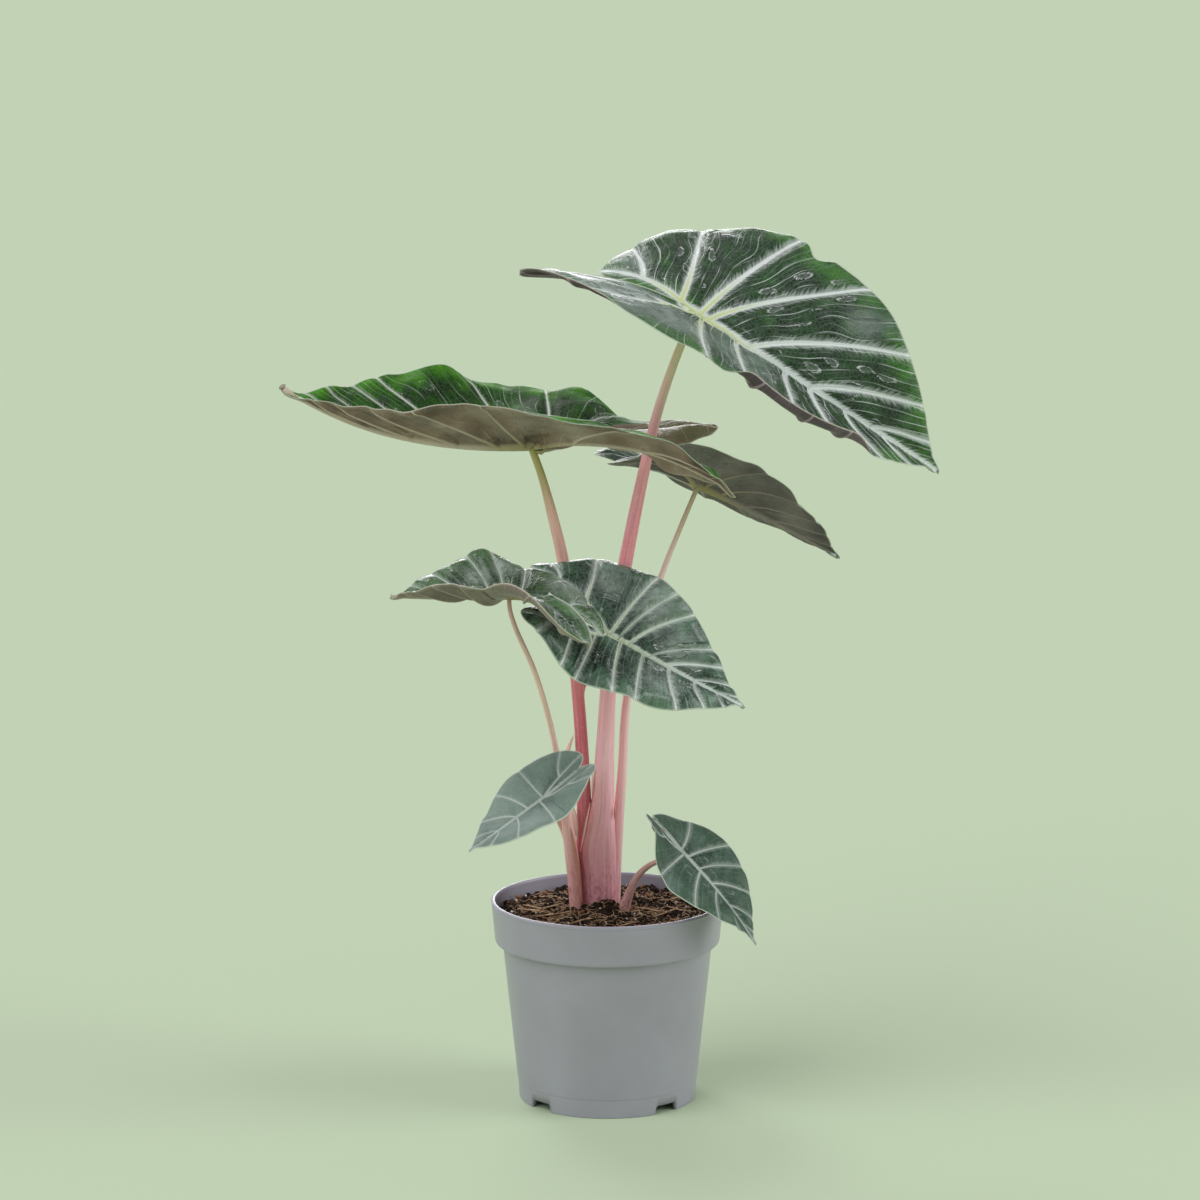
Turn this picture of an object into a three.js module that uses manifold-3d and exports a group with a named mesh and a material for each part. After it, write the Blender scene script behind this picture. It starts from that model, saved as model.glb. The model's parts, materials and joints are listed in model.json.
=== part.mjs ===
// Pink dragon alocasia in a nursery pot: seven arrow-shaped leaves on fleshy stalks that sheathe
// each other at the base, a rhizome with roots, potting mix and a grey moulded pot.
// Millimetres, +Z up. The origin lies under the middle of the plant's spread, on the surface that
// the pot stands on. All dimensions below are taken from the pot's own axis.
import * as THREE from 'three';
import { mergeVertices } from 'three/addons/utils/BufferGeometryUtils.js';
import Module from 'manifold-3d';

const wasm = await Module();
wasm.setup();

// Clearance kept between pieces that touch
const GAP = 0.3;
// The leaves reach further forward than back, so the pot's axis stands this far behind the origin
const POT_SET_BACK = 9;
const RIGHT_ANGLE = Math.PI / 2;

// Pot: a 12 cm nursery pot with a stepped rim band and four notches in its foot
const RIM_RADIUS = 60;
const POT_HEIGHT = 104;
const BAND_HEIGHT = 21.5;
const BAND_RADIUS = 57.8;
const BODY_TOP_RADIUS = 54;
const BASE_RADIUS = 45.8;
const WALL = 1.2;
const LIP_WIDTH = 2.2;
const FLOOR_HEIGHT = 5.5;
const POT_SIDES = 48;
const NOTCH_COUNT = 4;
const NOTCH_WIDTH = 14;
const NOTCH_HEIGHT = 4.6;
const NOTCH_TURN = 41.5;
const DRAIN_RADIUS = 3;
const DRAIN_RING = 30;
const DRAIN_COUNT = 6;

// Potting mix: 7 mm under the rim, heaped a little round the stalks
const SOIL_HEIGHT = 97;
const HEAP_HEIGHT = 3.6;
const HEAP_SPREAD = 15;
const CROWN = { x: -5, y: 5 };
const CLOD = 0.9;
const SOIL_SIDES = 36;

// Rhizome: a stout upright stem under the crown, with fleshy roots
const RHIZOME_TOP = 88;
const RHIZOME_RADIUS = 17;
const RHIZOME_DEPTH = 34;
const ROOT_COUNT = 7;
const ROOT_RADIUS = 1.5;
const ROOT_REACH = 24;
const ROOT_DROP = 34;

// Blades
const BLADE_THICKNESS = 0.8;
const KEEL = 1.1;
const VEIN_BOW = 0.55;
const VEINS_AT = [-0.76, -0.46, -0.2, 0.1, 0.38, 0.63, 0.8, 0.92];
const JOINED = 0.2;
const ACROSS = [0, 0.04, 0.25, 0.5, 0.76, 1];
const ACROSS_LOBE = [0, 0.3, 0.65, 1];
const SINUS_HEAD = 0.25;
const BEND_STEPS = 48;

const COLOURS = {
  pot: '#8a8f94',
  mix: '#3b2a1e',
  rhizome: '#8d6b52',
  stalk: '#cf8a90',
  old: '#4c6b5c',
  young: '#3c6b4a',
  green: '#3f7a35',
};

// Each leaf: pairs are [left half, right half], seen from the stalk towards the tip.
// at: where the stalk meets the blade. length: stalk to tip. width: midrib to margin, laid flat.
// lobe: length of the back lobes, and lobeSet their tips' distance from the midrib's line.
// sinus: how far behind the stalk the notch between the lobes ends. sweep: sideways bend of the midrib.
// yaw, pitch and roll turn the blade; droop and lobeDroop bend the midrib and the lobes.
// fold lifts each half from the midrib, at the tip, stalk and lobes; curl bends it across, front and back.
const LEAVES = [
  {
    name: 'top_right', colour: COLOURS.young, at: [44, -23.6, 407.7], length: 143,
    width: [82, 64], lobe: [62, 70], lobeSet: [9, 41], sinus: 7, widest: 3, fullness: 53,
    yaw: -7, pitch: -33, roll: 46, droop: -16, lobeDroop: 51, sweep: 15, twist: 0, veinLean: 3,
    foldTip: [34, 27], foldStalk: [-6, 42], foldLobe: [-7, 48], curlFront: [-12, 5], curlBack: [-20, -5],
    wave: [4.6, 0.6], waves: 3.5, phase: [0.19, 0.02],
  },
  {
    name: 'top_left', colour: COLOURS.green, at: [-38.6, -8.7, 339.6], length: 132,
    width: [55, 59], lobe: [107, 82], lobeSet: [29, 49], sinus: 7, widest: 9, fullness: 54,
    yaw: 167.6, pitch: -4, roll: -5.7, droop: 35, lobeDroop: 36, sweep: -4, twist: -16, veinLean: 2.6,
    foldTip: [37, 24], foldStalk: [30, 13], foldLobe: [30, 27], curlFront: [18, 18], curlBack: [1, -21],
    wave: [2, 6.3], waves: 3.5, phase: [0, 0.69],
  },
  {
    name: 'back_right', colour: COLOURS.old, at: [46.6, 33.2, 313.1], length: 85,
    width: [38, 39], lobe: [52, 56], lobeSet: [20, 19.5], sinus: 4, widest: 10, fullness: 36.5,
    yaw: 15.5, pitch: -24.3, roll: -1.7, droop: -8, lobeDroop: 20, sweep: 1, twist: -3, veinLean: 2.4,
    foldTip: [3, 30], foldStalk: [3, 38], foldLobe: [13.5, 12.5], curlFront: [-15, -14.5], curlBack: [3, 4.5],
    wave: [1.5, 1.9], waves: 3, phase: [-0.41, -0.24],
  },
  {
    name: 'middle_left', colour: COLOURS.old, at: [-48.9, -58.5, 271.9], length: 62.6,
    width: [29, 30], lobe: [52.5, 52.5], lobeSet: [18.5, 4], sinus: 3, widest: 11, fullness: 27,
    yaw: 164, pitch: -4, roll: -4, droop: 2.5, lobeDroop: 50, sweep: -2.7, twist: -12, veinLean: 2.4,
    foldTip: [27, 24], foldStalk: [19, 22], foldLobe: [-9, 5], curlFront: [16.5, 16], curlBack: [-5, -17],
    wave: [-0.7, 1.9], waves: 3, phase: [0, -0.44],
  },
  {
    name: 'middle_right', colour: COLOURS.young, at: [0.2, -35.4, 248.3], length: 76.4,
    width: [40.5, 36.5], lobe: [49.5, 51], lobeSet: [20.5, 19], sinus: 4, widest: 1.5, fullness: 28.5,
    yaw: 2.6, pitch: -30.5, roll: 37.5, droop: 1.5, lobeDroop: 4.5, sweep: 2.5, twist: -7.5, veinLean: 2.2,
    foldTip: [27, -3.5], foldStalk: [26, 2.5], foldLobe: [-1.5, 17], curlFront: [19, -1], curlBack: [-22, -4.5],
    wave: [2.1, 3.3], waves: 3, phase: [-0.64, -0.17],
  },
  {
    name: 'low_left', colour: COLOURS.old, at: [-33, -40.8, 165.3], length: 47,
    width: [20, 21], lobe: [32, 33], lobeSet: [6, 6], sinus: 23, widest: 5, fullness: 19,
    yaw: 211, pitch: -28, roll: -15, droop: 4, lobeDroop: -7, sweep: 1, twist: 1, veinLean: 2.4,
    foldTip: [11, 6], foldStalk: [4, 25], foldLobe: [20, 17], curlFront: [-7, -8], curlBack: [0, 7],
    wave: [1.3, 1.1], waves: 3, phase: [-0.41, 0.02],
  },
  {
    name: 'low_right', colour: COLOURS.old, at: [38.8, -29.4, 134.1], length: 56.5,
    width: [25, 25], lobe: [23, 27], lobeSet: [7, 7], sinus: 21, widest: 8, fullness: 24,
    yaw: -19.5, pitch: -43, roll: 10, droop: -13, lobeDroop: -6, sweep: -1, twist: 0, veinLean: 2.4,
    foldTip: [17, 10], foldStalk: [17, -5], foldLobe: [-1, 25], curlFront: [8, -24], curlBack: [2, 5],
    wave: [0.5, 0.7], waves: 3, phase: [0.04, 0.06],
  },
];

// Each stalk from the rhizome to its blade: x, y, z and radius. They are listed from the innermost
// outwards: where the swollen bases meet, the outer one is the sheath and wraps the inner ones.
const STALKS = [
  {
    leaf: 'top_right',
    path: [
      [-3.3, 5, 88, 6.4], [-3, 5, 112, 6.3], [-2.6, 4.7, 135, 6.1], [-2, 4, 160, 5.6], [-1, 3, 187, 4.6],
      [0.3, 2, 213, 4.1], [3.3, -1, 245, 3.9], [8.9, -4, 279, 3.6], [17.4, -9, 323, 3],
      [25, -14, 358, 2.5], [37, -20.5, 394, 2.1], [44, -23.6, 408.5, 2],
    ],
  },
  {
    leaf: 'top_left',
    path: [
      [-10.5, 6, 88, 5.6], [-11, 6, 112, 5.2], [-11.6, 5.7, 140, 4.2], [-12.4, 4.8, 168, 3.5],
      [-14.5, 3.5, 203, 3.2], [-18.6, 0.5, 250, 3.3], [-22.6, -2, 281, 3.1], [-27.5, -5, 303, 2.7],
      [-33.5, -7.8, 326, 2], [-38.6, -8.7, 340.5, 1.8],
    ],
  },
  {
    leaf: 'back_right',
    path: [
      [2, 7, 88, 4.6], [3, 7.4, 112, 4], [5.2, 8.4, 138, 3], [7.5, 9.6, 168, 2.4], [10, 11, 206, 2.2],
      [16.7, 15.5, 237, 1.8], [28, 21.5, 270, 1.5], [37, 27, 292, 1.3], [46.6, 33.2, 314, 1.2],
    ],
  },
  {
    leaf: 'middle_right',
    path: [
      [-8, 13.5, 88, 3.6], [-9.5, 13.5, 120, 3], [-12, 12, 160, 2.5], [-13.8, 10, 195, 2.1],
      [-13.5, 8.6, 211, 1.9], [-10.6, 4, 220.5, 1.8], [-6, -9, 233, 1.6], [-2.5, -22, 241, 1.5],
      [0.2, -35.4, 248.9, 1.4],
    ],
  },
  {
    leaf: 'middle_left',
    path: [
      [-15, 1.5, 88, 3.5], [-16.8, 0.8, 112, 3.6], [-19.2, -1, 134, 3.4], [-22, -5, 156, 2.6],
      [-25.4, -12, 180, 1.7], [-29, -21, 200, 1.5], [-36.6, -38, 230.5, 1.35], [-46, -54, 256.5, 1.2],
      [-50.6, -58.2, 266.5, 1.1], [-48.9, -58.6, 272.5, 1.05],
    ],
  },
  {
    leaf: 'low_left',
    path: [
      [-17.5, 7, 88, 1.9], [-17.8, 6.8, 110, 1.8], [-19.5, 5.6, 128, 1.6], [-23.5, 2.5, 141, 1.35],
      [-26.5, -5, 149, 1.2], [-28.5, -16, 155, 1.15], [-31, -30, 161, 1.1], [-33, -40.8, 165.8, 1],
    ],
  },
  {
    leaf: 'low_right',
    path: [
      [6.5, -1.5, 88, 2.8], [8.5, -2, 99, 2.8], [11.6, -4, 108.5, 2.3], [15.7, -7, 117.7, 1.8],
      [21.8, -12, 124.7, 1.45], [29.3, -19, 129.3, 1.25], [38.8, -29.4, 134.5, 1.1],
    ],
  },
];
const STALK_SIDES = 10;
const STALK_STEPS = 18;

const radians = (degrees) => THREE.MathUtils.degToRad(degrees);
const mix = (a, b, t) => a + (b - a) * t;
const clamp01 = (x) => Math.min(1, Math.max(0, x));

function smooth(x) {
  const t = clamp01(x);
  return t * t * (3 - 2 * t);
}

// Point of a quadratic or cubic Bezier curve, given as [x, y] pairs
function bezier(points, t) {
  let row = points;
  while (row.length > 1) {
    row = row.slice(1).map((p, i) => [mix(row[i][0], p[0], t), mix(row[i][1], p[1], t)]);
  }
  return row[0];
}

// Flat outline of one half of a leaf, in millimetres: x runs along the midrib, y away from it
function marginPoint(leaf, half, m) {
  const [width, lobe, set] = [leaf.width[half], leaf.lobe[half], leaf.lobeSet[half]];
  const { length, widest, fullness } = leaf;
  if (m < 0) {
    const shoulder = [widest - 0.62 * (lobe + widest), width];
    const turn = [0.02 * length - lobe, set + 0.55 * (width - set)];
    return bezier([[widest, width], shoulder, turn, [-lobe, set]], -m);
  }
  return bezier([[widest, width], [widest + fullness, width], [0.8 * length, 0.36 * width], [length, 0]], m);
}

// The veins' root line: the midrib in front of the stalk, the lobe's rib behind it. The veins
// nearest the stalk all start at the stalk itself.
function spinePoint(leaf, half, m) {
  const [lobe, set] = [leaf.lobe[half], leaf.lobeSet[half]];
  const along = Math.abs(m) > JOINED ? Math.abs(m) ** leaf.veinLean : 0;
  if (m >= 0) {
    return [along * leaf.length, 0];
  }
  return bezier([[0, 0], [-0.42 * lobe, 0.62 * set + 0.03 * leaf.length], [-lobe, set]], along);
}

// Inner edge of a lobe, from the stalk to the lobe's tip; it starts along the joined stretch
function sinusPoint(leaf, half, n) {
  const [lobe, set] = [leaf.lobe[half], leaf.lobeSet[half]];
  const { sinus, length } = leaf;
  if (n < SINUS_HEAD) {
    return [(-sinus * n) / SINUS_HEAD, 0];
  }
  const bow = [-0.45 * lobe - 0.5 * sinus, 0.12 * set - 0.02 * length];
  return bezier([[-sinus, 0], bow, [-0.93 * lobe, 0.25 * set], [-lobe, set]], (n - SINUS_HEAD) / (1 - SINUS_HEAD));
}

// Swelling of the blade between two veins, 0 on a vein and 1 midway
function swelling(m) {
  const stops = [-1, ...VEINS_AT, 1];
  const next = stops.findIndex((stop) => stop > m);
  if (next < 1) {
    return 0;
  }
  return Math.sin((Math.PI * (m - stops[next - 1])) / (stops[next] - stops[next - 1]));
}

// The midrib's path in its own upright plane, with its slope
function midribPath(leaf) {
  const [from, to] = [-1.2, 1.02];
  const step = (to - from) / (BEND_STEPS - 1);
  const rows = [];
  for (let i = 0; i < BEND_STEPS; i += 1) {
    const u = from + i * step;
    const back = (-u * leaf.length) / leaf.lobe[0];
    const slope = radians(u > 0 ? leaf.droop * u * (0.6 + 0.4 * u) : leaf.lobeDroop * back);
    const last = rows[i - 1];
    const x = last ? last.x + ((Math.cos(slope) + Math.cos(last.slope)) / 2) * step : 0;
    const z = last ? last.z + ((Math.sin(slope) + Math.sin(last.slope)) / 2) * step : 0;
    rows.push({ u, x, z, slope });
  }
  const sample = (u) => {
    const place = Math.min(BEND_STEPS - 1.001, Math.max(0, (u - from) / step));
    const [a, b] = [rows[Math.floor(place)], rows[Math.floor(place) + 1]];
    const t = place - Math.floor(place);
    return { x: mix(a.x, b.x, t), z: mix(a.z, b.z, t), slope: mix(a.slope, b.slope, t) };
  };
  const zero = sample(0);
  return (u) => {
    const s = sample(u);
    return { x: s.x - zero.x, z: s.z - zero.z, slope: s.slope };
  };
}

// Takes a flat point of one half to its place on the bent blade
function bendPoint(leaf, half, midrib, flat, lift) {
  const { length } = leaf;
  const side = half === 0 ? 1 : -1;
  const [u, away] = [flat[0] / length, Math.abs(flat[1]) / length];
  const width = leaf.width[0] / length;
  const back = smooth((-u * length) / leaf.lobe[0]);
  const stalkFold = leaf.foldStalk[half];
  const foldDegrees = stalkFold + (leaf.foldTip[half] - stalkFold) * smooth(u / 0.7)
    + (leaf.foldLobe[half] - stalkFold) * back + leaf.twist * side * clamp01(u);
  const backward = smooth(0.5 - (u * length) / (0.8 * leaf.lobe[0]));
  const curlDegrees = mix(leaf.curlFront[half], leaf.curlBack[half], backward);
  const fold = radians(foldDegrees);
  const rate = Math.abs(curlDegrees) < 0.01 ? 0.001 : radians(curlDegrees) / width;
  const edge = fold + rate * away;
  const out = (Math.sin(edge) - Math.sin(fold)) / rate;
  const up = (Math.cos(fold) - Math.cos(edge)) / rate;
  const ripple = leaf.wave[half] * (away / width) ** 1.5 * Math.sin(Math.PI * (leaf.waves * u + leaf.phase[half]));
  const rise = (ripple + lift) / length;
  const { x, z, slope } = midrib(u);
  const local = new THREE.Vector3(
    x - Math.sin(slope) * (up + Math.cos(edge) * rise),
    side * (out - Math.sin(edge) * rise) + (leaf.sweep / length) * clamp01(u) ** 2,
    z + Math.cos(slope) * (up + Math.cos(edge) * rise),
  );
  return local.multiplyScalar(length);
}

// One row of a leaf's grid for each vein and for the middle of each field between veins
function veinRows() {
  const stops = [-1, ...VEINS_AT, 1];
  const rows = stops.flatMap((stop, i) => (i ? [(stop + stops[i - 1]) / 2, stop] : [stop]));
  return [...rows, 0].sort((a, b) => a - b);
}

// Upper sheet of a blade as loose triangles: on each side a field outside the veins' root line and a lobe's inner field
function bladeSheet(leaf) {
  const midrib = midribPath(leaf);
  const rows = veinRows();
  const corners = [];
  const quilt = 0.012 * leaf.length;
  const addGrid = (grid, half) => {
    for (let i = 0; i + 1 < grid.length; i += 1) {
      for (let j = 0; j + 1 < grid[i].length; j += 1) {
        const quad = [grid[i][j], grid[i + 1][j], grid[i + 1][j + 1], grid[i][j + 1]];
        const [a, b, c, d] = half === 0 ? quad : [quad[0], quad[3], quad[2], quad[1]];
        corners.push(a, b, c, a, c, d);
      }
    }
  };
  for (const half of [0, 1]) {
    const outer = rows.map((m) => ACROSS.map((w) => {
      const [root, rim] = [spinePoint(leaf, half, m), marginPoint(leaf, half, m)];
      const flat = [mix(root[0], rim[0], w + VEIN_BOW * (w * w - w)), mix(root[1], rim[1], w)];
      const lift = quilt * swelling(m) * Math.sin(Math.PI * w);
      return bendPoint(leaf, half, midrib, flat, lift);
    }));
    const inner = rows.filter((m) => m === 0 || m < -JOINED).reverse().map((m) => ACROSS_LOBE.map((w) => {
      const [root, rim] = [spinePoint(leaf, half, m), sinusPoint(leaf, half, (-m) ** 1.3)];
      const flat = [mix(root[0], rim[0], w), mix(root[1], rim[1], w)];
      return bendPoint(leaf, half, midrib, flat, 0);
    }));
    addGrid(outer, half);
    addGrid(inner, half);
  }
  return corners;
}

// Merges coincident vertices and drops triangles that have shrunk to a line
function indexed(corners) {
  const soup = new THREE.BufferGeometry().setFromPoints(corners);
  const merged = mergeVertices(soup, 1e-2);
  const kept = [];
  const index = merged.index.array;
  for (let i = 0; i < index.length; i += 3) {
    const [a, b, c] = [index[i], index[i + 1], index[i + 2]];
    if (a !== b && b !== c && c !== a) {
      kept.push(a, b, c);
    }
  }
  merged.setIndex(kept);
  return merged;
}

// Closed blade: the same triangles above and below, and a narrow edge round the margin
function bladeGeometry(leaf, grow = 0) {
  const sheet = indexed(bladeSheet(leaf));
  sheet.computeVertexNormals();
  const [place, normal] = [sheet.getAttribute('position'), sheet.getAttribute('normal')];
  const index = Array.from(sheet.index.array);
  const count = place.count;
  const top = BLADE_THICKNESS / 2 + grow;
  const stalkEnd = new THREE.Vector3();
  const points = [];
  for (const under of [0, 1]) {
    for (let i = 0; i < count; i += 1) {
      const p = new THREE.Vector3().fromBufferAttribute(place, i);
      const n = new THREE.Vector3().fromBufferAttribute(normal, i);
      const onMidrib = Math.abs(p.y - (leaf.sweep * clamp01(p.x / leaf.length) ** 2)) < 0.02 && p.x > -leaf.sinus;
      const keel = onMidrib ? KEEL * (1 - 0.8 * clamp01(p.distanceTo(stalkEnd) / leaf.length)) : 0;
      points.push(p.addScaledVector(n, under ? -(top + keel) : top));
    }
  }
  const faces = [...index];
  for (let i = 0; i < index.length; i += 3) {
    faces.push(index[i] + count, index[i + 2] + count, index[i + 1] + count);
  }
  const used = new Set();
  for (let i = 0; i < index.length; i += 3) {
    for (const [a, b] of [[0, 1], [1, 2], [2, 0]]) {
      used.add(`${index[i + a]}_${index[i + b]}`);
    }
  }
  for (const edge of used) {
    const [a, b] = edge.split('_').map(Number);
    if (!used.has(`${b}_${a}`)) {
      faces.push(b, a, a + count, b, a + count, b + count);
    }
  }
  const geometry = new THREE.BufferGeometry().setFromPoints(points);
  geometry.setIndex(faces);
  const turn = new THREE.Euler(radians(leaf.roll), -radians(leaf.pitch), radians(leaf.yaw), 'ZYX');
  geometry.applyMatrix4(new THREE.Matrix4().makeRotationFromEuler(turn));
  geometry.translate(...leaf.at);
  return geometry;
}

// Closed tube along a smooth path whose radius follows the same points
function stalkGeometry(path, grow = 0, sides = STALK_SIDES, steps = STALK_STEPS) {
  const curve = new THREE.CatmullRomCurve3(path.map(([x, y, z]) => new THREE.Vector3(x, y, z)));
  const sizes = new THREE.SplineCurve(path.map((p, i) => new THREE.Vector2(i, p[3])));
  const frames = curve.computeFrenetFrames(steps, false);
  const points = [];
  const ends = [-1, ...Array(steps - 1).fill(0), 1];
  for (let i = 0; i <= steps; i += 1) {
    const centre = curve.getPointAt(i / steps).addScaledVector(frames.tangents[i], ends[i] * grow);
    const radius = sizes.getPoint(curve.getUtoTmapping(i / steps)).y + grow;
    for (let k = 0; k < sides; k += 1) {
      const turn = (k / sides) * 2 * Math.PI;
      const spoke = frames.normals[i].clone().multiplyScalar(Math.cos(turn));
      spoke.addScaledVector(frames.binormals[i], Math.sin(turn));
      points.push(centre.clone().addScaledVector(spoke, radius));
    }
  }
  const [first, last] = [points.length, points.length + 1];
  points.push(curve.getPoint(0).addScaledVector(frames.tangents[0], -grow));
  points.push(curve.getPoint(1).addScaledVector(frames.tangents[steps], grow));
  const faces = [];
  for (let k = 0; k < sides; k += 1) {
    const next = (k + 1) % sides;
    for (let i = 0; i < steps; i += 1) {
      const [a, b, c, d] = [i * sides + k, i * sides + next, (i + 1) * sides + next, (i + 1) * sides + k];
      faces.push(a, b, c, a, c, d);
    }
    faces.push(first, next, k, last, steps * sides + k, steps * sides + next);
  }
  const geometry = new THREE.BufferGeometry().setFromPoints(points);
  geometry.setIndex(faces);
  return geometry;
}

function toSolid(geometry) {
  const bare = new THREE.BufferGeometry();
  bare.setAttribute('position', geometry.getAttribute('position'));
  bare.setIndex(geometry.index);
  const merged = mergeVertices(bare, 1e-3);
  return new wasm.Manifold(new wasm.Mesh({
    numProp: 3,
    vertProperties: new Float32Array(merged.getAttribute('position').array),
    triVerts: new Uint32Array(merged.index.array),
  }));
}

function toGeometry(solid) {
  const mesh = solid.getMesh();
  const geometry = new THREE.BufferGeometry();
  geometry.setAttribute('position', new THREE.BufferAttribute(Float32Array.from(mesh.vertProperties), 3));
  geometry.setIndex(Array.from(mesh.triVerts));
  return geometry.toNonIndexed();
}

// The largest body of a solid, without the scraps that a cut leaves
function largest(solid) {
  return solid.decompose().sort((a, b) => b.volume() - a.volume())[0];
}

const profile = (rows) => rows.map(([r, z]) => new THREE.Vector2(r, z));

// Solid of revolution about +Z from a profile of radius and height
function turned(rows, sides) {
  return new THREE.LatheGeometry(profile(rows), sides).rotateX(RIGHT_ANGLE);
}

function potSolid() {
  const bandBottom = POT_HEIGHT - BAND_HEIGHT;
  const step = bandBottom - 2;
  const shell = turned([
    [0, FLOOR_HEIGHT],
    [BASE_RADIUS - 3, FLOOR_HEIGHT],
    [BASE_RADIUS - 2.4, 0],
    [BASE_RADIUS - 0.6, 0],
    [BASE_RADIUS, 0.8],
    [BODY_TOP_RADIUS, step],
    [BAND_RADIUS - 0.5, bandBottom],
    [BAND_RADIUS + 0.1, bandBottom + 1],
    [RIM_RADIUS - 0.3, POT_HEIGHT - 2],
    [RIM_RADIUS, POT_HEIGHT - 0.6],
    [RIM_RADIUS - 0.5, POT_HEIGHT],
    [RIM_RADIUS - LIP_WIDTH, POT_HEIGHT],
    [RIM_RADIUS - LIP_WIDTH - 0.4, POT_HEIGHT - 1],
    [BAND_RADIUS - WALL, bandBottom + 1],
    [BODY_TOP_RADIUS - WALL, step - 0.6],
    [BASE_RADIUS - WALL - 0.8, FLOOR_HEIGHT + WALL],
    [0, FLOOR_HEIGHT + WALL],
  ], POT_SIDES);
  let pot = toSolid(shell);
  for (let i = 0; i < NOTCH_COUNT; i += 1) {
    const notch = new THREE.BoxGeometry(12, NOTCH_WIDTH, 2 * NOTCH_HEIGHT);
    notch.translate(BASE_RADIUS, 0, 0);
    notch.rotateZ(radians(NOTCH_TURN + (360 / NOTCH_COUNT) * i));
    pot = pot.subtract(toSolid(notch));
  }
  for (let i = 0; i < DRAIN_COUNT; i += 1) {
    const drain = new THREE.CylinderGeometry(DRAIN_RADIUS, DRAIN_RADIUS, 4 * WALL, 12).rotateX(RIGHT_ANGLE);
    drain.translate(DRAIN_RING, 0, FLOOR_HEIGHT + WALL / 2);
    drain.rotateZ(radians((360 / DRAIN_COUNT) * i));
    pot = pot.subtract(toSolid(drain));
  }
  return pot;
}

// Height of the potting mix above a point of the pot
function soilHeight(x, y) {
  const fromCrown = Math.hypot(x - CROWN.x, y - CROWN.y);
  const heap = HEAP_HEIGHT * Math.exp(-((fromCrown / HEAP_SPREAD) ** 4));
  const clods = Math.sin(0.31 * x + 1.3) * Math.cos(0.27 * y - 0.4) + 0.6 * Math.sin(0.53 * y + 0.41 * x);
  return SOIL_HEIGHT + heap + CLOD * clods;
}

function soilSolid() {
  const bandBottom = POT_HEIGHT - BAND_HEIGHT;
  const edge = BAND_RADIUS - WALL + 0.4 - GAP;
  const rings = [edge, 50, 43, 36, 29, 22, 15, 8, 0];
  const rows = [
    [0, FLOOR_HEIGHT + WALL + GAP],
    [BASE_RADIUS - WALL - 1 - GAP, FLOOR_HEIGHT + WALL + GAP],
    [BODY_TOP_RADIUS - WALL - 0.2 - GAP, bandBottom - 2.6],
    [BAND_RADIUS - WALL - 0.2 - GAP, bandBottom + 1.2],
    ...rings.map((r) => [r, SOIL_HEIGHT]),
  ];
  const soil = turned(rows, SOIL_SIDES);
  const place = soil.getAttribute('position');
  for (let i = 0; i < place.count; i += 1) {
    if (place.getZ(i) > SOIL_HEIGHT - 0.1) {
      place.setZ(i, soilHeight(place.getX(i), place.getY(i)));
    }
  }
  return toSolid(soil);
}

// Rhizome with its roots, or a little larger as the hollow that it fills in the mix
function rhizomeSolid(grow = 0) {
  const top = RHIZOME_TOP - 2 * GAP + grow;
  const widest = RHIZOME_RADIUS + grow;
  const bottom = RHIZOME_TOP - RHIZOME_DEPTH - grow;
  const body = turned([
    [0, top],
    [0.86 * widest, top],
    [widest, top - 8],
    [0.8 * widest, top - 21],
    [0.35 * widest, bottom],
    [0, bottom],
  ].reverse(), 14);
  let solid = toSolid(body.translate(CROWN.x, CROWN.y, 0));
  for (let i = 0; i < ROOT_COUNT; i += 1) {
    const turn = (i / ROOT_COUNT) * 2 * Math.PI + 0.3;
    const reach = ROOT_REACH + 3 * Math.sin(5 * i);
    const [dx, dy] = [Math.cos(turn), Math.sin(turn)];
    const start = RHIZOME_TOP - 14 - 3 * (i % 3);
    const at = (r, z, size) => [CROWN.x + dx * r, CROWN.y + dy * r, z, size];
    const root = stalkGeometry([
      at(6, start + 2, ROOT_RADIUS),
      at(18, start - 3, ROOT_RADIUS),
      at(0.5 * (18 + reach), start - 0.4 * ROOT_DROP, 0.8 * ROOT_RADIUS),
      at(reach, start - ROOT_DROP - 4 * (i % 2), 0.55 * ROOT_RADIUS),
    ], grow, 6, 7);
    solid = solid.add(toSolid(root));
  }
  return solid;
}

const group = new THREE.Group();

function addNode(name, solid, colour, roughness) {
  const material = new THREE.MeshStandardMaterial({ color: colour, roughness, metalness: 0 });
  const mesh = new THREE.Mesh(toGeometry(solid), material);
  mesh.name = name;
  group.add(mesh);
}

const pot = potSolid();
const rhizome = rhizomeSolid();
let soil = soilSolid().subtract(rhizomeSolid(GAP));

const blades = new Map();
const bladeRooms = new Map();
for (const leaf of LEAVES) {
  blades.set(leaf.name, toSolid(bladeGeometry(leaf)));
  bladeRooms.set(leaf.name, toSolid(bladeGeometry(leaf, GAP)));
}

const stalks = new Map();
let innerStalks = null;
for (const { leaf, path } of STALKS) {
  let stalk = toSolid(stalkGeometry(path)).subtract(bladeRooms.get(leaf)).subtract(blades.get(leaf));
  if (innerStalks) {
    stalk = stalk.subtract(innerStalks);
  }
  const room = toSolid(stalkGeometry(path, GAP));
  innerStalks = innerStalks ? innerStalks.add(room) : room;
  stalks.set(leaf, largest(stalk));
}
soil = largest(soil.subtract(innerStalks));

addNode('pot', pot, COLOURS.pot, 0.5);
addNode('potting_mix', soil, COLOURS.mix, 1);
addNode('rhizome_and_roots', rhizome, COLOURS.rhizome, 0.8);
for (const { name, colour } of LEAVES) {
  addNode(`stalk_${name}`, stalks.get(name), COLOURS.stalk, 0.45);
  addNode(`blade_${name}`, blades.get(name), colour, 0.35);
}

group.position.y = POT_SET_BACK;

export default group;
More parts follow.
